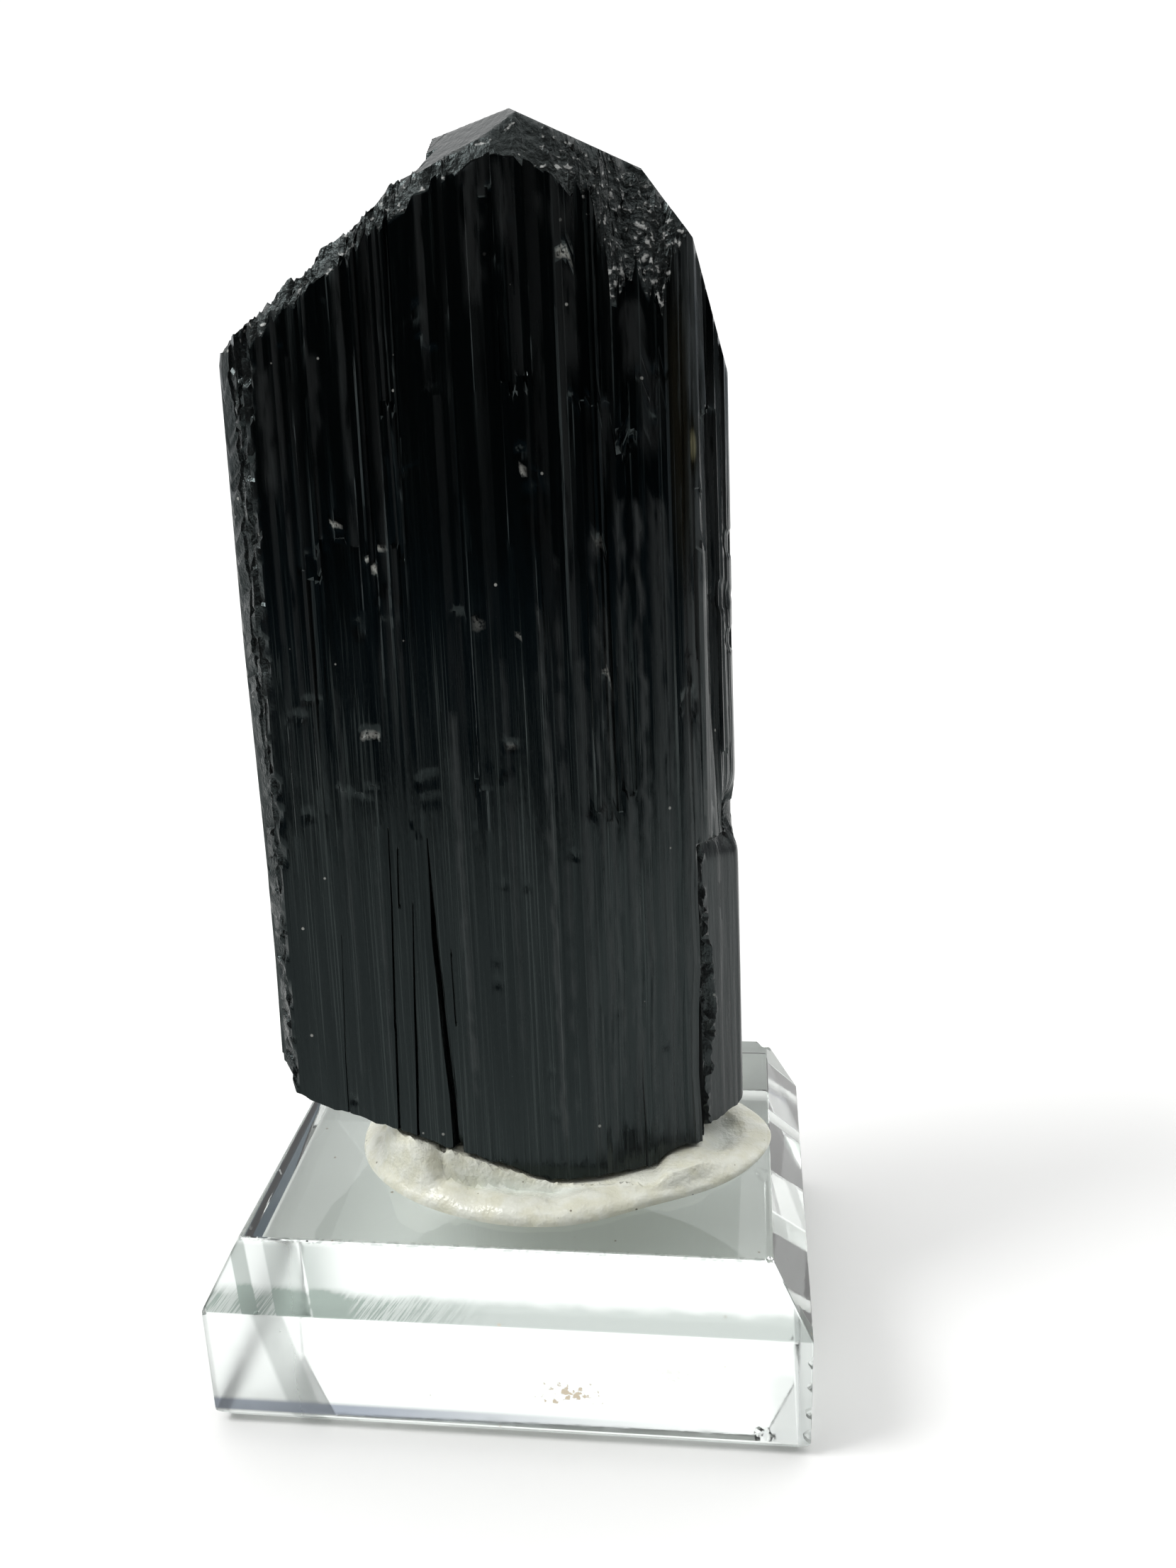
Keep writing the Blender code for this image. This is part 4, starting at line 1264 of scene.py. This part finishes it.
RUN_DUST = 0.36
LOW_END = (38.0, 56.0)
FAR_FROM_FRONT = 99.0
STRIP_CUT_REACH = 1.4
CRACK_TO_FACET = (16.6, 17.4)
FACET_EASE = 2.5
PINK_RIGHT = (5.0, 13.0)
PINK_TOP = (1.0, 7.0)
STRIP_GRIT_END = (56.0, 66.0)
FLAT_DUST_FROM = (28.0, 50.0)


def side_surface(distance, heights):
    """Points of the sides, with all their detail, and the finish masks there."""
    point, normal = on_section(distance)
    in_front = distance < FRONT_END
    x = np.where(in_front, point[..., 0], FAR_FROM_FRONT)
    on_flat = in_front & (point[..., 1] < FLAT_DEPTH)
    upper = between(CALM_BELOW, CALM_ABOVE, heights)
    calm = np.where(on_flat, np.interp(upper, (0, 1), FLAT_CALM), ROUND_CALM)
    run_depth, dust = run_depth_and_dust(heights)
    round_fade = np.where(in_front, np.interp(upper, (0, 1), ROUND_FADE), 1.0)
    fade = np.where(on_flat, np.interp(upper, (0, 1), FLAT_FADE), round_fade)
    depth = STAND_IN + COLUMN_DEPTH * fade + run_depth * calm
    depth = depth + DRIFT_DEPTH * stretched_lumps(distance, heights, 2.9, 14.0, 2.0)
    depth = depth + RIPPLE_DEPTH * stretched_lumps(distance, heights, 0.6, 6.0, 5.0) * calm
    blotch = span(heights, *BLOTCH_SPAN) * (x < BLOTCH_RIGHT)
    depth = depth + BLOTCH_DEPTH * stretched_lumps(distance, heights, 1.3, 3.2, 6.0) * blotch
    mark_depth, pale_and_highlight = hand_marks(x, heights)
    depth = depth + mark_depth
    strip, crack, facet, notch = rough_zones(distance, heights, x)
    rough = np.maximum.reduce([strip, crack, notch])
    place = (point[..., 0], point[..., 1], heights)
    large = masked(facets, rough, *place, 1.0, 1.0, GRAIN_STRETCH)
    small = masked(facets, rough, *place, 0.5, 2.0, GRAIN_STRETCH)
    cut = between(0.0, STRIP_CUT_REACH, path_at(STRIP_EDGE, heights) - x) * in_front
    depth = depth + strip * (STRIP_CUT * cut + STRIP_DEPTH - STRIP_GRAIN * large - 0.14 * small)
    crack_floor = CRACK_FLOOR + (FACET_CUT - CRACK_FLOOR) * between(*CRACK_TO_FACET, x)
    depth = depth + crack * (crack_floor - CRACK_GRAIN * large - 0.2 * small)
    cut_share = np.clip(1 - (distance - front_distance(FACET_CUT_START)) / FACET_CUT_REACH, 0.0, 1.0)
    facet_depth = FACET_RISE * between(-FACET_EASE, 0.0, heights - FACET_TOP) + FACET_CUT * cut_share
    depth = depth * (1 - 0.8 * facet) + facet * facet_depth
    depth = depth + notch * (NOTCH_DEPTH - 0.4 * large) + gash_depth(heights)
    depth = np.maximum(depth, 0.0)
    warm_and_gold_highlight = swell(x, *WARM_PLACE) * span(heights, *WARM_SPAN)
    # Painted highlight: a small gold spot at the right, kept in the same mask as the warm streak.
    gold_highlight = swell(x, GOLD_HIGHLIGHT_PLACE[0], GOLD_HIGHLIGHT_REACH[0]) * swell(heights, GOLD_HIGHLIGHT_PLACE[1], GOLD_HIGHLIGHT_REACH[1])
    warm_and_gold_highlight = np.maximum(0.5 * warm_and_gold_highlight, gold_highlight)
    pink_foot = between(*PINK_RIGHT, x) * (1 - between(*PINK_TOP, heights)) * 0.6 * in_front
    pink = np.maximum(facet, pink_foot)
    strip_grit = strip * (1 - 0.5 * between(*STRIP_GRIT_END, heights))
    grit = np.clip(np.maximum.reduce([strip_grit, crack * 0.6, notch, 0.5 * pale_and_highlight]), 0.0, 1.0)
    dust = dust * (1 - facet) * np.where(on_flat, between(*FLAT_DUST_FROM, heights), 0.6)
    dust = np.maximum(RUN_DUST * dust, column_dust(x, heights))
    low = 1.0 - between(*LOW_END, heights)
    empty = np.zeros_like(x)
    masks = np.stack([empty, grit, warm_and_gold_highlight, dust, pink, low, pale_and_highlight], axis=-1)
    return point - normal * depth[..., None], masks


# %% Tip and foot with their roughness
FLAT_FROST = 0.12
APRON_GRAIN = 0.24
APRON_LUMP = 0.22
LEDGE_GRAIN = 0.30
LEDGE_REACH = 3.6
LEDGE_SPAN = (8.5, 10.0, 15.0, 16.5)
LEDGE_START = 0.3
APRON_EDGE = (-0.5, 0.4)
BREAK_EDGE = (-0.8, 0.5)
LEFT_APRON_END = (-2.0, 1.0)
CRUMBLY_FROM = (4.2, 9.0)
EXTRA_STEEP = (4.0, 10.0)
CLUSTERS = (
    # middle, reach, share of grit crumbs, which carry painted glints
    ((12.7, 75.2), (2.9, 1.9), 1.0),
    ((12.9, 78.3), (1.6, 2.4), 0.75),
    ((9.6, 79.6), (1.6, 1.4), 0.5),
)
BREAK_LUMP = 2.2
BREAK_ROUGHNESS = 0.40
BREAK_GRAIN = 0.30
LEFT_APRON_GRAIN = 0.105
FOOT_LUMP = 1.9
FOOT_ROUGHNESS = 0.25


def rough_tip(x, y):
    """Height of the tip with its crumbs, and the finish masks there."""
    flat = flat_tip_height(x, y)
    broken = break_height(x, y)
    apron = apron_height(x, y)
    low = np.minimum(flat, broken)
    apron_share = between(*APRON_EDGE, low - apron)
    broken_share = between(*BREAK_EDGE, flat - broken) * (1 - apron_share)
    left_apron = apron_share * (1 - between(*LEFT_APRON_END, x))
    crumbly = apron_share * between(*CRUMBLY_FROM, x)
    ledge = apron_share * span(x, *LEDGE_SPAN)
    ledge = ledge * (1 - between(LEDGE_START, LEDGE_REACH, apron - path_at(RIM, x)))
    cluster = np.zeros_like(x)
    for (middle_x, middle_z), (reach_x, reach_z), full in CLUSTERS:
        near = swell(x, middle_x, reach_x) * swell(apron, middle_z, reach_z)
        cluster = np.maximum(cluster, full * near * apron_share)
    rough = np.maximum(apron_share, broken_share)
    points = np.stack([x.ravel(), y.ravel(), low.ravel() * 0.6], axis=1)
    soft = lumps(points, 1.3, 6.0).reshape(x.shape)
    large = masked(facets, rough, x, y, apron, 1.2, 3.0)
    small = masked(facets, rough, x, y, apron, 0.6, 4.0)
    steep = path_at(APRON_SLOPES, x) + between(*EXTRA_STEEP, x)
    lift = (0.15 + 0.85 * crumbly) * (APRON_GRAIN * (large + 0.5 * small) + APRON_LUMP * soft)
    lift = lift + (ledge * LEDGE_GRAIN + left_apron * LEFT_APRON_GRAIN) * (large + small)
    apron = apron + steep * lift
    broken = broken + BREAK_ROUGHNESS * lumps(points, BREAK_LUMP, 5.0).reshape(x.shape)
    broken = broken + BREAK_GRAIN * large + 0.12 * small
    grit = np.maximum.reduce([cluster, left_apron * 0.3, broken_share * 0.5, crumbly * 0.4])
    empty = np.zeros_like(x)
    frost = np.maximum(apron_share, FLAT_FROST)
    masks = np.stack([frost, grit, empty, empty, empty, empty, empty], axis=-1)
    return np.minimum.reduce([flat, broken, apron]), masks


def rough_foot(x, y):
    """Height of the broken foot with its crumbs, and the finish masks there."""
    height = foot_height(x, y)
    points = np.stack([x.ravel(), y.ravel(), np.zeros(x.size)], axis=1)
    grain = masked(grains, np.ones_like(x), x, y, height, 1.2, 7.0)
    height = height + FOOT_ROUGHNESS * (lumps(points, FOOT_LUMP, 9.0).reshape(x.shape) + 0.5 - grain)
    empty = np.zeros_like(x)
    return height, np.stack([empty, empty + 1.0, empty, empty, empty, empty, empty], axis=-1)


# %% Lay out the sides
CLOSEST_RINGS = 0.05

rest_point, _ = on_section(COLUMN_REST)
top, _ = rough_tip(rest_point[:, 0], rest_point[:, 1])
draw = random.Random(RUN_SEED)
top = top - np.array([draw.random() ** 2 * RIM_RAG for _ in top])
bottom, _ = rough_foot(rest_point[:, 0], rest_point[:, 1])
share = np.linspace(0.0, 1.0, SIDE_RINGS + 1)
side_heights = bottom + (top - bottom) * share[:, None]
for column, rib in enumerate(COLUMN_RIB):
    if rib < 0:
        continue
    for ledge in RIB_RUNS[rib][0]:
        ring = int(np.searchsorted(side_heights[:, column], ledge))
        if 2 <= ring <= SIDE_RINGS - 2:
            side_heights[ring - 1, column] = ledge - LEDGE_HALF_WIDTH
            side_heights[ring, column] = ledge + LEDGE_HALF_WIDTH
side_flat, side_masks = side_surface(column_distances(side_heights), side_heights)
top, _ = rough_tip(side_flat[-1, :, 0], side_flat[-1, :, 1])
bottom, _ = rough_foot(side_flat[0, :, 0], side_flat[0, :, 1])
side_heights[-1] = top
side_heights[0] = bottom
side_heights[-2] = np.minimum(side_heights[-2], top - CLOSEST_RINGS)
side_heights[1] = np.maximum(side_heights[1], bottom + CLOSEST_RINGS)
print("sides:", side_heights.shape)

# %% Lay out the caps
FOOT_MIDDLE = (0.0, 12.0)
TIP_MIDDLE = (3.6, 8.5)
RIM_CROWD = 0.6


def cap(rim, middle, rings, surface):
    """Rings from just inside the rim to the middle, closer together near the rim."""
    share = np.linspace(1.0, 0.0, rings + 1)[1:]
    share = share + RIM_CROWD * share * (1 - share)
    flat = np.array(middle) + (rim - np.array(middle)) * share[:, None, None]
    height, masks = surface(flat[..., 0], flat[..., 1])
    return flat, height, masks


tip_flat, tip_heights, tip_masks = cap(side_flat[-1], TIP_MIDDLE, TIP_RINGS, rough_tip)
foot_flat, foot_heights, foot_masks = cap(side_flat[0], FOOT_MIDDLE, FOOT_RINGS, rough_foot)
flat_rings = np.concatenate([foot_flat[::-1], side_flat, tip_flat])
height_rings = np.concatenate([foot_heights[::-1], side_heights, tip_heights])
mask_rings = np.concatenate([foot_masks[::-1], side_masks, tip_masks])
print("rings in all:", len(height_rings), "of", RING_COUNT + 1)

# %% Set the points
CRYSTAL_FOOT = Vector((-0.1, -9.9, 17.26))
LEAN_BACK = math.radians(7.6)
LEAN_LEFT = math.radians(1.5)
lean = Matrix.Rotation(-LEAN_LEFT, 3, "Y") @ Matrix.Rotation(-LEAN_BACK, 3, "X")

local = np.concatenate([flat_rings[ring_of, column_of], height_rings[ring_of, column_of][:, None]], axis=1)
place_points(crystal, local @ np.array(lean).T + np.array(CRYSTAL_FOOT))
frost, grit, warm_and_gold_highlight, dust, pink, low, pale_and_highlight = np.moveaxis(mask_rings[ring_of, column_of], -1, 0)
paint(crystal, "finish", frost, grit, warm_and_gold_highlight, pale_and_highlight)
paint(crystal, "tone", dust, pink, low, np.ones_like(low))
make_active(crystal)
bpy.ops.object.shade_smooth_by_angle(angle=math.radians(24.0))
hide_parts("tourmaline_crystal")
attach(crystal, "root")
print("crystal:", count_triangles(crystal), "triangles")

# %% [markdown]
# ## Black tourmaline
# The stone is almost opaque and nearly black, with a faint blue-green cast in its gloss.
# Most of what reads as grey on it is a reflection, so the base colour stays very dark and
# the roughness does much of the work: clean ribs are glossy, dusty ribs and the frosted
# apron are dull. Dust is a dark grey and the grit at the broken edges is paler. Some of the
# colour is painted light: light grey lines in the lower half are painted reflection, bright
# crumbs mostly on the frosted apron are painted glints, the hollows between crumbs are
# painted shade, pale marks are partly pale crumbs and partly painted highlight, and one spot
# at the right is a painted gold highlight. Noise stretched along the prism gives lines too
# fine for the mesh, both painted and in the bump.

# %% Crystal material
STONE_COLOUR = (0.0008, 0.0013, 0.0015, 1.0)
PAINTED_REFLECTION_LINE_COLOUR = (0.042, 0.050, 0.048, 1.0)
FROST_COLOUR = (0.007, 0.0069, 0.0065, 1.0)
DUST_COLOUR = (0.041, 0.0435, 0.0435, 1.0)
GRIT_COLOUR = (0.040, 0.042, 0.041, 1.0)
PAINTED_GLINT_COLOUR = (0.60, 0.60, 0.58, 1.0)
PALE_AND_HIGHLIGHT_COLOUR = (0.52, 0.52, 0.48, 1.0)
SPECK_COLOUR = (0.30, 0.30, 0.28, 1.0)
WARM_COLOUR = (0.010, 0.009, 0.006, 1.0)
PAINTED_GOLD_HIGHLIGHT_COLOUR = (0.16, 0.15, 0.09, 1.0)
PINK_COLOUR = (0.012, 0.010, 0.011, 1.0)
STONE_ROUGHNESS = 0.085
STREAK_SIZE = (0.28 * MM, 0.28 * MM, 14 * MM)
LINE_SIZE = (0.13 * MM, 0.13 * MM, 26 * MM)
LINE_EDGE = (0.53, 0.70)
DULL_EDGE = (0.47, 0.33)
BAND_SIZE = (1.4 * MM, 1.4 * MM, 50 * MM)
MOTTLE_SIZE = (0.55 * MM, 0.55 * MM, 5.0 * MM)
FROST_GRAIN = (0.40 * MM, 0.40 * MM, 0.5 * MM)
GRIT_GRAIN = (0.22 * MM, 0.22 * MM, 0.3 * MM)
DUST_GRAIN = (0.14 * MM, 0.14 * MM, 0.30 * MM)
CRUMB_SIZE = (0.70 * MM, 0.70 * MM, 0.55 * MM)
CRUMB_LIGHT = (0.645, 0.78)
SPECK_SPACING = 1.9 * MM
SPECK_RADIUS = (0.05, 0.085)
SPECK_SHARE = (0.80, 0.82)
LEAN_TURN = (-LEAN_BACK, -LEAN_LEFT, 0.0)
STONE_IOR = 1.62
STONE_GLOSS = 0.225
GLOSS_TINT = (0.80, 1.0, 1.0, 1.0)

black, tree, shader = new_material("black_tourmaline")
finish = add_node(tree, "ShaderNodeAttribute", attribute_name="finish")
frost_part, grit_part, warm_and_gold_highlight_part = add_node(
    tree, "ShaderNodeSeparateColor", {0: finish.outputs["Color"]}
).outputs
tone = add_node(tree, "ShaderNodeAttribute", attribute_name="tone")
dust_part, pink_part, low_part = add_node(
    tree, "ShaderNodeSeparateColor", {0: tone.outputs["Color"]}
).outputs


def noise_along(size, detail):
    """Noise stretched along the leaning prism."""
    return stretched_noise(tree, size, detail, CRYSTAL_FOOT * MM, LEAN_TURN)


streaks = noise_along(STREAK_SIZE, 3.0)
thin_lines = noise_along(LINE_SIZE, 1.0)
bands = noise_along(BAND_SIZE, 2.0)
mottle = noise_along(MOTTLE_SIZE, 4.0)
frost_grain = stretched_noise(tree, FROST_GRAIN, 3.0)
grit_grain = stretched_noise(tree, GRIT_GRAIN, 2.0)
dust_grain = rise_between(tree, noise_along(DUST_GRAIN, 3.0), 0.50, 0.75)

# Painted reflection: light grey lines, mostly in the lower half where the floor is reflected.
painted_line_share = rise_between(tree, thin_lines, *LINE_EDGE, 0.0, 0.65)
painted_line_share = product(tree, painted_line_share, rise_between(tree, bands, 0.30, 0.62))
painted_line_share = scaled_sum(tree, painted_line_share, (rise_between(tree, bands, 0.40, 0.62), 0.07), (dust_grain, 0.10))
painted_line_share = product(tree, painted_line_share, rise_between(tree, low_part, 0.0, 1.0, 0.05))
dull_lines = product(tree, rise_between(tree, thin_lines, *DULL_EDGE), low_part)
crumbs = stretched_noise(tree, CRUMB_SIZE, 2.0)
crumb_light = scaled_sum(tree, crumbs, (grit_part, 0.15))
# Painted glints: bright spots on crumbs, mostly on the frosted apron.
painted_glints = product(tree, rise_between(tree, crumb_light, *CRUMB_LIGHT), frost_part)
crumbly = product(tree, grit_part, frost_part)
# Painted shade: the hollows between crumbs go back to the near-black stone colour.
shaded_hollows = product(tree, rise_between(tree, crumbs, 0.50, 0.38), crumbly)
cells = add_node(tree, "ShaderNodeTexCoord").outputs["Object"]
cells = add_node(tree, "ShaderNodeTexVoronoi", {"Vector": cells, "Scale": 1.0 / SPECK_SPACING})
chosen = add_node(tree, "ShaderNodeSeparateColor", {0: cells.outputs["Color"]}).outputs[0]
specks = product(
    tree,
    rise_between(tree, cells.outputs["Distance"], *SPECK_RADIUS, 1.0, 0.0),
    rise_between(tree, chosen, *SPECK_SHARE),
)

colour = mix_colour(tree, pink_part, STONE_COLOUR, PINK_COLOUR)
colour = mix_colour(tree, painted_line_share, colour, PAINTED_REFLECTION_LINE_COLOUR)
dusty = product(tree, dust_part, rise_between(tree, mottle, 0.27, 0.52))
colour = mix_colour(tree, dusty, colour, DUST_COLOUR)
colour = mix_colour(tree, frost_part, colour, FROST_COLOUR)
colour = mix_colour(tree, rise_between(tree, warm_and_gold_highlight_part, 0.0, 0.5), colour, WARM_COLOUR)
# Painted highlight: the gold spot.
colour = mix_colour(tree, rise_between(tree, warm_and_gold_highlight_part, 0.5, 1.0), colour, PAINTED_GOLD_HIGHLIGHT_COLOUR)
colour = mix_colour(tree, product(tree, grit_part, grit_grain), colour, GRIT_COLOUR)
colour = mix_colour(tree, shaded_hollows, colour, STONE_COLOUR)
colour = mix_colour(tree, painted_glints, colour, PAINTED_GLINT_COLOUR)
# Partly painted highlight: pale marks are pale crumbs and bright lips that would catch the light.
pale_and_highlight_share = product(tree, finish.outputs["Alpha"], rise_between(tree, grit_grain, 0.30, 0.55))
colour = mix_colour(tree, pale_and_highlight_share, colour, PALE_AND_HIGHLIGHT_COLOUR)
colour = mix_colour(tree, specks, colour, SPECK_COLOUR)
tree.links.new(colour, shader.inputs["Base Color"])
roughness = scaled_sum(
    tree,
    STONE_ROUGHNESS,
    (dusty, 0.26),
    (frost_part, 0.26),
    (grit_part, 0.05),
    (dull_lines, 0.16),
    (streaks, 0.05),
    (rise_between(tree, mottle, 0.45, 0.70), 0.05),
)
tree.links.new(roughness, shader.inputs["Roughness"])
height = scaled_sum(
    tree,
    0.0,
    (streaks, 0.014),
    (mottle, 0.060),
    (product(tree, frost_part, frost_grain), 0.12),
    (product(tree, grit_part, grit_grain), 0.18),
    (product(tree, crumbly, crumbs), 0.55),
)
add_bump(tree, shader, height, 1.0 * MM)
shader.inputs["IOR"].default_value = STONE_IOR
shader.inputs["Specular IOR Level"].default_value = STONE_GLOSS
shader.inputs["Specular Tint"].default_value = GLOSS_TINT
give_material(crystal, black)
print("crystal material:", len(tree.nodes), "nodes")

# %% [markdown]
# ## The putty
# A mound of putty holds the crystal's foot: a rounded rim, a smooth trough where a thumb
# went along it, and a ragged lip pressed up against the crystal. It is a ball primitive
# again, whose rings are laid out from the mound's edge to its middle, above and below. The
# rings are close together near the edge, because the middle is hidden under the crystal.

# %% Outline of the putty
PUTTY_MIDDLE = (3.1, -1.2)
PUTTY_HALF_WIDTH = 18.2
PUTTY_FRONT_REACH = 13.5
PUTTY_BACK_REACH = 13.0
PUTTY_DENT_ANGLE = math.radians(-47.0)
PUTTY_DENT_SPREAD = math.radians(30.0)
PUTTY_DENT = 0.13
PUTTY_POINT_ANGLE = math.radians(7.0)
PUTTY_POINT_SPREAD = math.radians(13.0)
PUTTY_POINT = 0.05
PUTTY_UNDERSIDE = 17.42
PUTTY_THINNEST = 0.25
UNDER_CRYSTAL = 0.38
FOOT_ROUNDS = 4


def putty_reach(angle):
    """How far the mound spreads from its middle in one direction."""
    depth = np.where(np.sin(angle) < 0, PUTTY_FRONT_REACH, PUTTY_BACK_REACH)
    reach = 1.0 / np.hypot(np.cos(angle) / PUTTY_HALF_WIDTH, np.sin(angle) / depth)
    dented = PUTTY_DENT * swell(angle, PUTTY_DENT_ANGLE, PUTTY_DENT_SPREAD)
    pointed = PUTTY_POINT * swell(angle, PUTTY_POINT_ANGLE, PUTTY_POINT_SPREAD)
    return reach * (1.0 - dented + pointed)


def crystal_foot_above(x, y):
    """Local x and y under the crystal's foot for a place on the base, and the foot's height."""
    height = np.zeros_like(x)
    for _ in range(FOOT_ROUNDS):
        local_x = x - CRYSTAL_FOOT.x + math.sin(LEAN_LEFT) * height
        local_y = (y - CRYSTAL_FOOT.y - math.sin(LEAN_BACK) * height) / math.cos(LEAN_BACK)
        height = foot_height(local_x, local_y)
    z = CRYSTAL_FOOT.z + height * math.cos(LEAN_BACK)
    return local_x, local_y, z + local_x * math.sin(LEAN_LEFT) - local_y * math.sin(LEAN_BACK)


print("putty reaches", round(float(putty_reach(np.array(-math.pi / 2))), 1), "mm to the front")

# %% Height of the putty
RIM_RISE = 1.28
RIM_WIDTH = 2.1
RIM_THIN_ANGLE = math.radians(8.0)
RIM_THIN_SPREAD = math.radians(26.0)
RIM_THINNED = 0.62
TROUGH_RISE = 0.66
TROUGH_FROM = 4.4
LIP_SPAN = (-12.4, -10.6, 14.5, 18.6)
LIP_START = (0.5, 1.6)
LIP_NEAR = 0.35
LIP_FAR = ((-12.0, 3.2), (-7.0, 2.8), (-5.6, 1.1), (0.0, 0.8), (10.0, 0.9), (18.0, 2.0))
LIP_BELOW = 0.05
LIP_RAG = 0.42
LIP_OVERLAP = 0.12
SOILED_EDGE = (0.2, 1.5)
CLEFT_PLACE = -6.0
CLEFT_WIDTH = 0.28
CLEFT_DEPTH = 1.5
FOLD_PLACES = ((9.6, 0.35, 0.30), (13.8, 0.5, 0.40), (-8.6, 0.4, 0.30))
FOLD_SLANT = 0.5
FOLD_FRONT = -12.0
PUTTY_LUMP = 0.16
PUTTY_WRINKLE = 0.08


def putty_height(x, y, edge_distance):
    """Height of the mound's top, and how much of the trough, the edge and the lip is here."""
    flat = np.stack([x.ravel(), y.ravel(), np.zeros(x.size)], axis=1)
    large = lumps(flat, 2.4, 3.0).reshape(x.shape)
    small = lumps(flat, 0.7, 5.0).reshape(x.shape)
    rise = np.clip(edge_distance / RIM_WIDTH, 0.0, 1.0)
    towards = np.arctan2(y - PUTTY_MIDDLE[1], x - PUTTY_MIDDLE[0])
    thinned = 1 - RIM_THINNED * swell(towards, RIM_THIN_ANGLE, RIM_THIN_SPREAD)
    rim = (RIM_RISE + 0.25 * large) * thinned * np.sqrt(1.0 - (1.0 - rise) ** 2)
    trough = between(RIM_WIDTH, TROUGH_FROM, edge_distance)
    height = rim + (TROUGH_RISE - RIM_RISE) * trough + rise * (PUTTY_LUMP * large + PUTTY_WRINKLE * small)
    for place, width, tall in FOLD_PLACES:
        fold = swell(x + FOLD_SLANT * (y - FOLD_FRONT), place, width)
        height = height + tall * fold * rise * trough
    local_x, local_y, foot = crystal_foot_above(x, y)
    ragged = LIP_RAG * lumps(flat * np.array([1.0, 0.3, 1.0]), 0.55, 7.0).reshape(x.shape)
    cleft = CLEFT_DEPTH * swell(local_x, CLEFT_PLACE, CLEFT_WIDTH)
    lip_top = foot - PUTTY_UNDERSIDE - LIP_BELOW + ragged - cleft
    lip = 1 - between(LIP_NEAR, path_at(LIP_FAR, local_x), -local_y)
    lip = lip * span(local_x, *LIP_SPAN) * between(*LIP_START, edge_distance)
    height = height + np.maximum(0.0, lip_top - height) * lip
    under = foot - UNDER_CRYSTAL - PUTTY_UNDERSIDE
    height = np.where(local_y > -LIP_OVERLAP, np.minimum(height, under), height)
    masks = np.stack([trough * (1 - lip), 1 - between(*SOILED_EDGE, edge_distance), lip], axis=-1)
    return np.maximum(PUTTY_THINNEST * rise, height), masks


# %% Lay out the putty
PUTTY_SEGMENTS = 168
PUTTY_RINGS = 84
PUTTY_CROWD = 1.45

deselect_all()
bpy.ops.mesh.primitive_uv_sphere_add(segments=PUTTY_SEGMENTS, ring_count=PUTTY_RINGS, radius=1.0)
putty = bpy.context.object
putty.name = "putty"
ball = points_of(putty)
angle = np.arctan2(ball[:, 1], ball[:, 0])
inward = np.abs(np.arcsin(np.clip(ball[:, 2], -1, 1))) / (math.pi / 2)
reach = putty_reach(angle)
edge_distance = reach * inward**PUTTY_CROWD
from_middle = reach - edge_distance
x = PUTTY_MIDDLE[0] + from_middle * np.cos(angle)
y = PUTTY_MIDDLE[1] + from_middle * np.sin(angle)
rise, putty_masks = putty_height(x, y, edge_distance)
above = np.where(ball[:, 2] < -0.01, 0.0, rise)
place_points(putty, np.stack([x, y, PUTTY_UNDERSIDE + above], axis=1))
paint(putty, "finish", *putty_masks.T, np.ones_like(x))
make_active(putty)
bpy.ops.object.shade_smooth_by_angle(angle=math.radians(40.0))
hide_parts("mounting_putty")
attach(putty, "root")
print("putty:", count_triangles(putty), "triangles")

# %% Putty material
CREAM = (0.79, 0.785, 0.64, 1.0)
CREAM_PALE = (0.86, 0.87, 0.77, 1.0)
TROUGH_COLOUR = (0.74, 0.79, 0.73, 1.0)
SOIL_COLOUR = (0.16, 0.13, 0.09, 1.0)
BLOTCH_SIZE = (1.6 * MM, 1.6 * MM, 1.6 * MM)
PUTTY_CRUMB_SIZE = (0.35 * MM, 0.35 * MM, 0.35 * MM)
SOIL_SPACING = 0.9 * MM
SOIL_RADIUS = (0.14, 0.08)
SOIL_CHOSEN = (0.88, 0.90)

milky, tree, shader = new_material("milky_putty")
finish = add_node(tree, "ShaderNodeAttribute", attribute_name="finish")
trough_part, edge_part, lip_part = add_node(
    tree, "ShaderNodeSeparateColor", {0: finish.outputs["Color"]}
).outputs
blotches = stretched_noise(tree, BLOTCH_SIZE, 4.0)
crumbs = stretched_noise(tree, PUTTY_CRUMB_SIZE, 3.0)
place = add_node(tree, "ShaderNodeTexCoord").outputs["Object"]
soil = add_node(tree, "ShaderNodeTexVoronoi", {"Vector": place, "Scale": 1.0 / SOIL_SPACING})
soil_chosen = add_node(tree, "ShaderNodeSeparateColor", {0: soil.outputs["Color"]}).outputs[0]
soil_chosen = rise_between(tree, scaled_sum(tree, soil_chosen, (edge_part, 0.30)), *SOIL_CHOSEN)
soil_share = product(tree, rise_between(tree, soil.outputs["Distance"], *SOIL_RADIUS), soil_chosen)
colour = mix_colour(tree, rise_between(tree, blotches, 0.35, 0.65), CREAM, CREAM_PALE)
colour = mix_colour(tree, product(tree, trough_part, 0.85), colour, TROUGH_COLOUR)
colour = mix_colour(tree, product(tree, soil_share, 0.8), colour, SOIL_COLOUR)
tree.links.new(colour, shader.inputs["Base Color"])
roughness = scaled_sum(tree, 0.16, (crumbs, 0.18), (lip_part, 0.15))
tree.links.new(roughness, shader.inputs["Roughness"])
crumb_height = product(tree, crumbs, scaled_sum(tree, 0.35, (lip_part, 0.8)))
add_bump(tree, shader, scaled_sum(tree, 0.0, (blotches, 0.25), (crumb_height, 0.12)), 1.0 * MM)
give_material(putty, milky)
print("putty material:", len(tree.nodes), "nodes")
